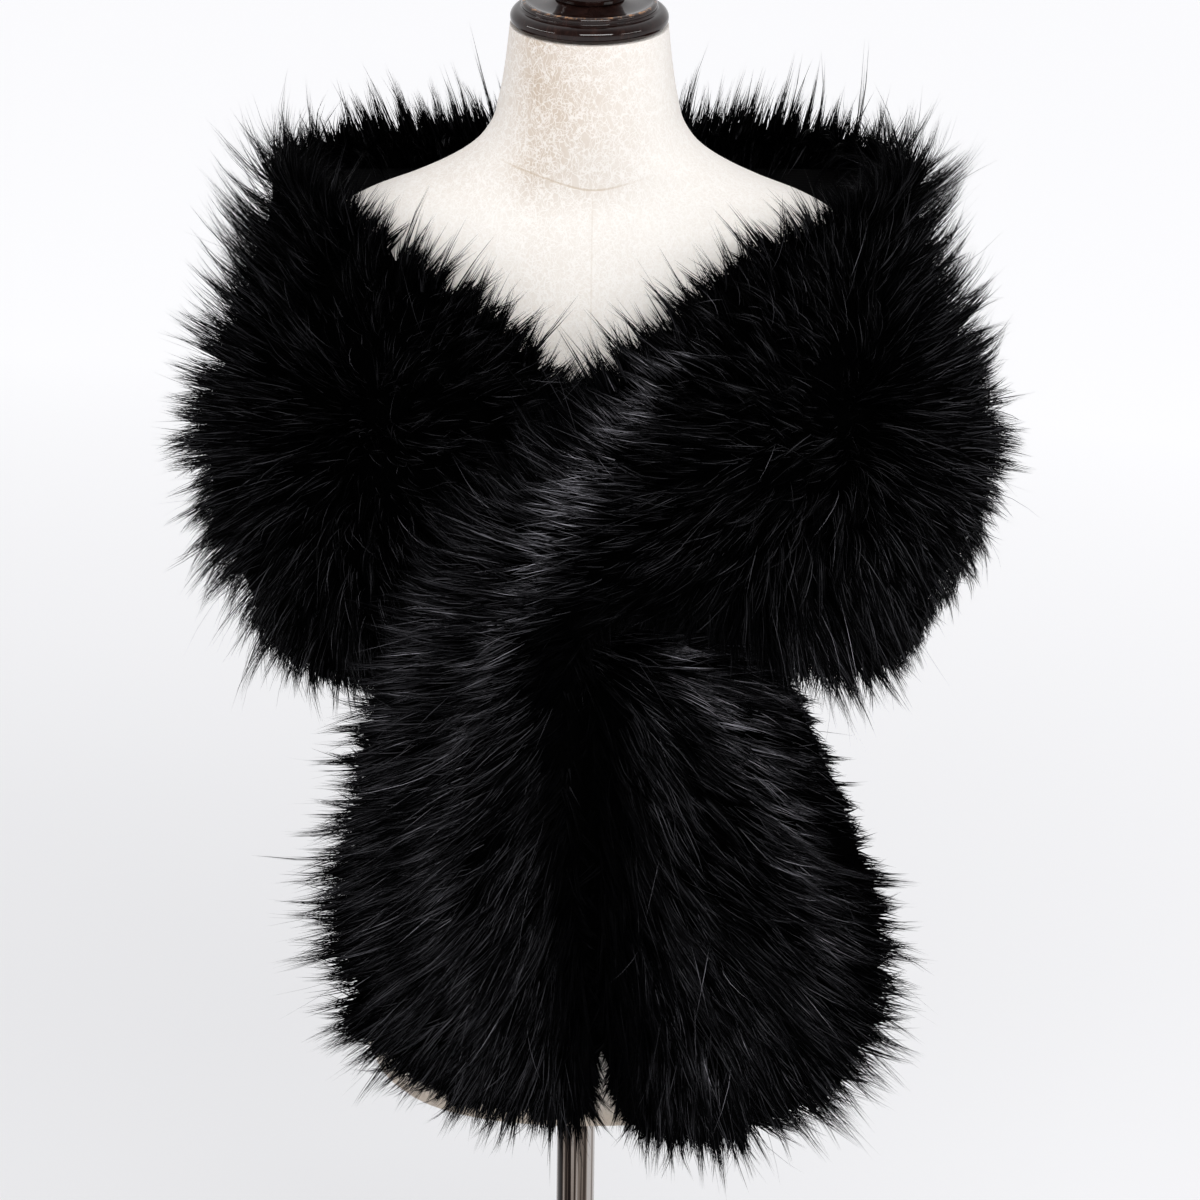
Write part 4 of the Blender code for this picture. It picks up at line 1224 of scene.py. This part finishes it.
def cover_material():
    """Ivory fibre cover: pale curved fibres over mottled beige, with two faint seams, and painted
    shade on the neck's left and at the lower edge.
    """
    n = new_material("ivory_fibre_cover")
    where = n.coordinates()
    x, y, z = n.add("SeparateXYZ", {0: where}).outputs
    sway = n.noise(where, 95.0, 2.0, 0.5, output="Color")

    def fibres(scale, width, turn, amount):
        """Thin lines that cross: the edges of a cell pattern, with its places swayed."""
        swayed = {0: sway, 1: (amount,) * 3, 2: n.coordinates((1.0, 1.0, 0.5), turn)}
        place = n.add("VectorMath", swayed, operation="MULTIPLY_ADD").outputs["Vector"]
        cells = {"Vector": place, "Scale": scale}
        edge = n.add("TexVoronoi", cells, feature="DISTANCE_TO_EDGE").outputs["Distance"]
        return n.ranged(edge, width * 0.35, width, 1.0, 0.0)

    web, *others = [fibres(*row) for row in FIBRES]
    for other in others:
        web = n.math("MAXIMUM", web, other)
    patches = n.noise(where, 26, 3, 0.55)
    grain = n.noise(where, 560, 3, 0.65)
    # Bare of fibres and beige on the left of the neck, its darkening there partly painted shade,
    # and tan painted shade at the lower edge, under the hanging tails.
    bare_and_shaded = n.times(n.ranged(x, 0.045, -0.030, 0.12, 1.0), n.ranged(z, 0.972, 1.006, 0.20, 1.0))
    bare_and_shaded = n.times(bare_and_shaded, n.ranged(x, -0.056, -0.036, 0.35, 1.0))
    depth = n.times(bare_and_shaded, n.ranged(patches, 0.30, 0.74, 0.60, 1.0))
    ground = n.mixed(depth, (0.89, 0.858, 0.822, 1), (0.555, 0.45, 0.36, 1))
    ground = n.mixed(n.ranged(grain, 0.42, 0.66, 0.16, 0.0), ground, (0.62, 0.53, 0.44, 1))
    # Painted shade: darker and tan towards the bottom of the cover, with its fibres darkened too.
    painted_low_shade = n.ranged(n.plus(z, n.times(patches, 0.03)), 0.380, 0.424, 1.0, 0.0)
    ground = n.mixed(painted_low_shade, ground, (0.50, 0.43, 0.36, 1))
    threads = n.mixed(painted_low_shade, (0.915, 0.888, 0.858, 1), (0.60, 0.53, 0.45, 1))
    colour = n.mixed(n.times(web, 0.66), ground, threads)

    aside = n.math("SUBTRACT", x, SEAM_MIDDLE)
    dip = n.math("SQRT", n.plus(n.times(aside, aside), SEAM_ROUND))
    off_seam = n.off(z, n.plus(n.times(dip, SEAM_SLOPE), SEAM_HEIGHT))
    fading = n.times(n.ranged(x, 0.040, 0.008), n.ranged(x, -0.058, -0.047))
    shown = n.math("MAXIMUM", fading, n.ranged(y, 0.01, 0.03, 0.0, 0.8))
    neck_seam = n.times(n.ranged(off_seam, 0.0002, 0.0010, 1.0, 0.0), shown)
    line = n.ranged(n.off(x, CENTRE_SEAM), 0.0002, 0.0008, 1.0, 0.0)
    centre_seam = n.times(line, n.ranged(z, 0.990, 0.988))
    seams = n.math("MAXIMUM", n.times(neck_seam, 0.55), n.times(centre_seam, 0.16))
    n.set(Base_Color=n.mixed(seams, colour, (0.52, 0.40, 0.28, 1)))
    n.set(Roughness=0.85, Specular_IOR_Level=0.2)
    height = n.plus(n.times(web, 0.7), n.times(grain, 0.4))
    n.bumped(n.math("SUBTRACT", height, n.times(seams, 1.4)), 0.30, 0.0005)
    return n.owner


def wood_material():
    """Polished dark mahogany, chipped to a lighter brown on its sharp turned edge, with a thin pale
    highlight line painted along it.
    """
    n = new_material("dark_turned_mahogany")
    grain = n.noise(n.coordinates((1, 1, 0.3)), 160, 5, 0.65, 0.8)
    base = n.ramp(
        grain,
        (0.30, 0.005, 0.0020, 0.0016),
        (0.55, 0.014, 0.0060, 0.0048),
        (0.75, 0.032, 0.0140, 0.0105),
    )
    wear_and_highlight_ring = n.add("Attribute", attribute_name=EDGE_MARK).outputs["Fac"]
    spots = n.noise(n.coordinates(), 210, 3, 0.7)
    chips = n.times(wear_and_highlight_ring, n.ranged(spots, 0.55, 0.60))
    # A painted highlight: a thin pale line along the marked ring.
    line = n.times(wear_and_highlight_ring, n.ranged(spots, 0.30, 0.62, 0.05, 0.55))
    colour = n.mixed(line, base, (0.20, 0.165, 0.15, 1))
    n.set(
        Base_Color=n.mixed(chips, colour, (0.40, 0.20, 0.09, 1)),
        Roughness=n.ranged(grain, 0.2, 0.8, 0.05, 0.08),
        Specular_IOR_Level=0.32,
    )
    n.bumped(n.noise(n.coordinates((1, 1, 0.4)), 300, 2, 0.5), 0.012, 0.0003)
    return n.owner


def pole_material():
    """Chrome with painted reflections: brown-grey, with dark and pale streaks that run down the
    pole.
    """
    n = new_material("chrome_painted_reflections")
    streaks = n.noise(n.coordinates((1, 1, 0.006)), 330, 2, 0.6)
    broad = n.noise(n.coordinates((1, 1, 0.008)), 120, 2, 0.5)
    # Painted reflections: the streaks set the chrome's colour from near black to pale.
    colour = n.ramp(
        n.plus(n.times(streaks, 0.6), n.times(broad, 0.4)),
        (0.42, 0.012, 0.009, 0.008),
        (0.48, 0.060, 0.046, 0.038),
        (0.53, 0.24, 0.20, 0.17),
        (0.59, 0.46, 0.43, 0.41),
    )
    n.set(Base_Color=colour, Metallic=1.0, Roughness=n.ranged(streaks, 0.3, 0.7, 0.14, 0.26))
    n.bumped(n.noise(n.coordinates((1, 1, 0.05)), 900, 2, 0.5), 0.04, 0.0003)
    return n.owner


def plate_material():
    """The same chrome on the turned plates: lathe rings and faint tarnish."""
    n = new_material("dark_turned_chrome")
    where = n.coordinates()
    lathe = {"Vector": where, "Scale": 260.0, "Distortion": 0.6, "Detail": 2.0}
    rings = n.add("TexWave", lathe, wave_type="RINGS", rings_direction="Z").outputs["Fac"]
    tarnish = n.noise(where, 14, 4, 0.6)
    colour = n.ramp(tarnish, (0.3, 0.17, 0.15, 0.135), (0.7, 0.27, 0.25, 0.235))
    n.set(Base_Color=colour, Metallic=1.0, Roughness=n.ranged(tarnish, 0.3, 0.7, 0.20, 0.30))
    n.bumped(rings, 0.06, 0.0002)
    return n.owner


# ---------------------------------------------------------------- form and stand

FORM_SIDES = 96
FORM_RINGS = 132
EDGE_MARK = "edge"

# Turned outlines: radius and height in mm, from the bottom up.
NECK_CAP = (
    (48.3, 0.0), (49.6, 0.5), (50.9, 1.7), (51.8, 3.3), (52.0, 5.0), (51.8, 6.6), (50.9, 8.3),
    (49.4, 9.8), (47.6, 10.6), (45.7, 10.9), (44.9, 11.3), (44.5, 12.0), (44.6, 13.0),
    (44.5, 14.2), (43.9, 15.3), (42.8, 15.9), (41.6, 15.8), (40.4, 15.2), (37.0, 14.6),
    (31.0, 14.9), (26.0, 15.8), (23.0, 17.0),
)
FINIAL = (
    (22.3, 0.0), (23.3, 0.8), (23.9, 2.2), (24.1, 4.0), (23.9, 5.8), (23.0, 7.3), (21.6, 8.1),
    (21.0, 9.0), (21.4, 10.2), (21.3, 11.7), (20.2, 13.2), (18.0, 14.6), (15.2, 16.6),
    (12.9, 20.0), (11.3, 25.0), (10.4, 31.0), (10.6, 36.5), (12.2, 41.0), (15.4, 45.3),
    (18.8, 50.0), (20.7, 54.8), (20.9, 59.5), (19.3, 64.6), (15.6, 69.3), (10.2, 72.4),
    (4.8, 73.4),
)
HUB = (
    (38.0, 0.0), (38.0, 1.6), (36.9, 3.0), (33.0, 4.1), (27.0, 5.4), (21.5, 7.6), (17.6, 11.0),
    (15.7, 15.0), (14.9, 19.0), (14.6, 22.4), (13.9, 23.7), (13.2, 24.0),
)
# Plain discs: radius, height and rounded edge in mm. GAP is between pieces. The ring of the cap's
# profile given below is where its polish is chipped off and a highlight line is painted.
BASE_PLATE = (165, 7, 1.2)
FLANGE = (31, 3, 0.8)
FLANGE_FOOT = 341.7
GAP = 0.3
CAP_HEIGHT = 17.0
WEAR_AND_HIGHLIGHT_RADIUS, WEAR_AND_HIGHLIGHT_HEIGHT = 43.0, 15.8
WEAR_AND_HIGHLIGHT_SPREAD = 0.9
POLE_RADIUS, FERRULE_RADIUS, FERRULE_LENGTH = 11.4, 13.2, 120


def smooth_outline(outline, between=3):
    table = np.array(outline, float)
    places = np.linspace(0, len(table) - 1, (len(table) - 1) * between + 1)
    return through(table, np.arange(len(table), dtype=float), places)


def turned(name, outline, foot, surface, lean=0.0, sides=96):
    """A turned piece from radii and heights in mm, bottom to top, with its top leaning forward."""
    turn = np.linspace(0, 2 * math.pi, sides, endpoint=False)
    tilt = math.radians(lean)
    rings = []
    for radius, height in outline:
        x, y, z = radius * np.cos(turn), radius * np.sin(turn), np.full(sides, height)
        y, z = y * math.cos(tilt) - z * math.sin(tilt), y * math.sin(tilt) + z * math.cos(tilt)
        rings.append(np.stack([x, y, z], 1) * MM + foot)
    return lofted(name, rings, surface)


def wear_and_highlight_ring(piece, outline, radius, height):
    """Marks the ring of a turned piece where its polish is chipped off and a highlight line is
    painted.
    """
    rings = np.asarray(outline)
    square = (rings[:, 0] - radius) ** 2 + (rings[:, 1] - height) ** 2
    near = np.exp(-square / WEAR_AND_HIGHLIGHT_SPREAD)
    layer = piece.data.attributes.new(EDGE_MARK, "FLOAT", "POINT")
    each = np.repeat(near, len(piece.data.vertices) // len(near))
    layer.data.foreach_set("value", each.astype(np.float32))


def make_form(surface):
    """The covered torso and neck: one closed shell through the CAD's sections."""
    rows = np.linspace(0, len(FORM) - 1, FORM_RINGS)
    heights = through(FORM_HEIGHTS[:, None], np.arange(len(FORM), dtype=float), rows)[:, 0]
    heights = np.clip(heights, FORM_HEIGHTS[0], FORM_HEIGHTS[-1])
    turn = np.linspace(0, 2 * math.pi, FORM_SIDES, endpoint=False)
    cos, sin = np.cos(turn), np.sin(turn)
    rings = []
    for height, section in zip(heights, form_sections(heights).T):
        half_width, front, back, centre, power, tilt = section
        x = half_width * np.sign(cos) * np.abs(cos) ** (2 / power)
        depth = np.where(sin < 0, front, back)
        y = depth * np.sign(sin) * np.abs(sin) ** (2 / power)
        z = height + y * math.tan(math.radians(tilt))
        rings.append(np.stack([x, y + centre, z], 1) * MM)
    return lofted("covered_form", rings, surface)


def make_tops(surface):
    """The wooden cap and finial, which stand on the neck and lean with its top."""
    top = FORM[-1]
    lean = math.radians(top.tilt)
    up = np.array([0, -math.sin(lean), math.cos(lean)])
    foot = np.array([0, top.centre, top.height]) * MM + up * GAP * MM
    outline = smooth_outline(NECK_CAP)
    cap = turned("turned_cap", outline, foot, surface, top.tilt, 80)
    wear_and_highlight_ring(cap, outline, WEAR_AND_HIGHLIGHT_RADIUS, WEAR_AND_HIGHLIGHT_HEIGHT)
    foot = foot + up * (CAP_HEIGHT + GAP) * MM
    finial = turned("turned_finial", smooth_outline(FINIAL), foot, surface, top.tilt, 72)
    return {"neck_cap": cap, "finial": finial}


def disc(radius, height, edge):
    """A disc's outline, rounded at both its edges."""
    low = [(radius - edge, 0), (radius - edge * 0.3, edge * 0.3), (radius, edge)]
    return low + [(x, height - z) for x, z in reversed(low)]


def make_stand():
    streaked, plain = pole_material(), plate_material()
    hub_foot = BASE_PLATE[1] + GAP
    pole_foot = hub_foot + HUB[-1][1] + GAP
    length = FLANGE_FOOT - GAP - pole_foot
    ferrule = length - FERRULE_LENGTH
    pole = [
        (POLE_RADIUS, 0),
        (POLE_RADIUS, ferrule - 1.0),
        (FERRULE_RADIUS - 0.3, ferrule - 0.6),
        (FERRULE_RADIUS, ferrule),
        (FERRULE_RADIUS, length),
    ]
    outlines = {
        "base_plate": ("stand_base", disc(*BASE_PLATE), 0, plain, 0.0, 160),
        "base_hub": ("stand_hub", smooth_outline(HUB), hub_foot, plain),
        "pole_flange": ("form_flange", disc(*FLANGE), FLANGE_FOOT, plain),
        "pole": ("stand_pole", pole, pole_foot, streaked),
    }
    return {
        node: turned(name, outline, (0, 0, foot * MM), *rest)
        for node, (name, outline, foot, *rest) in outlines.items()
    }


# ---------------------------------------------------------------- the model


def fitted(piece, node):
    """Puts a piece in the place of the CAD's node, which it hides, and attaches it to the root
    body.
    """
    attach(piece, "root")
    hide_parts(node)


def main():
    place_camera()
    make_studio()
    fitted(make_form(cover_material()), "form_body")
    for node, piece in make_tops(wood_material()).items():
        fitted(piece, node)
    for node, piece in make_stand().items():
        fitted(piece, node)

    hair_look, wool_look, knit_look = hair_material(), undercoat_material(), backing_material()
    for stretch in STRETCHES:
        backing = make_backing(stretch, knit_look)
        undercoat = make_undercoat(stretch, wool_look)
        hair = make_hair(stretch, hair_look)
        fitted(backing, f"cloth_{stretch.name}")
        fitted(undercoat, f"fur_{stretch.name}")
        fitted(hair, f"fur_{stretch.name}")


main()
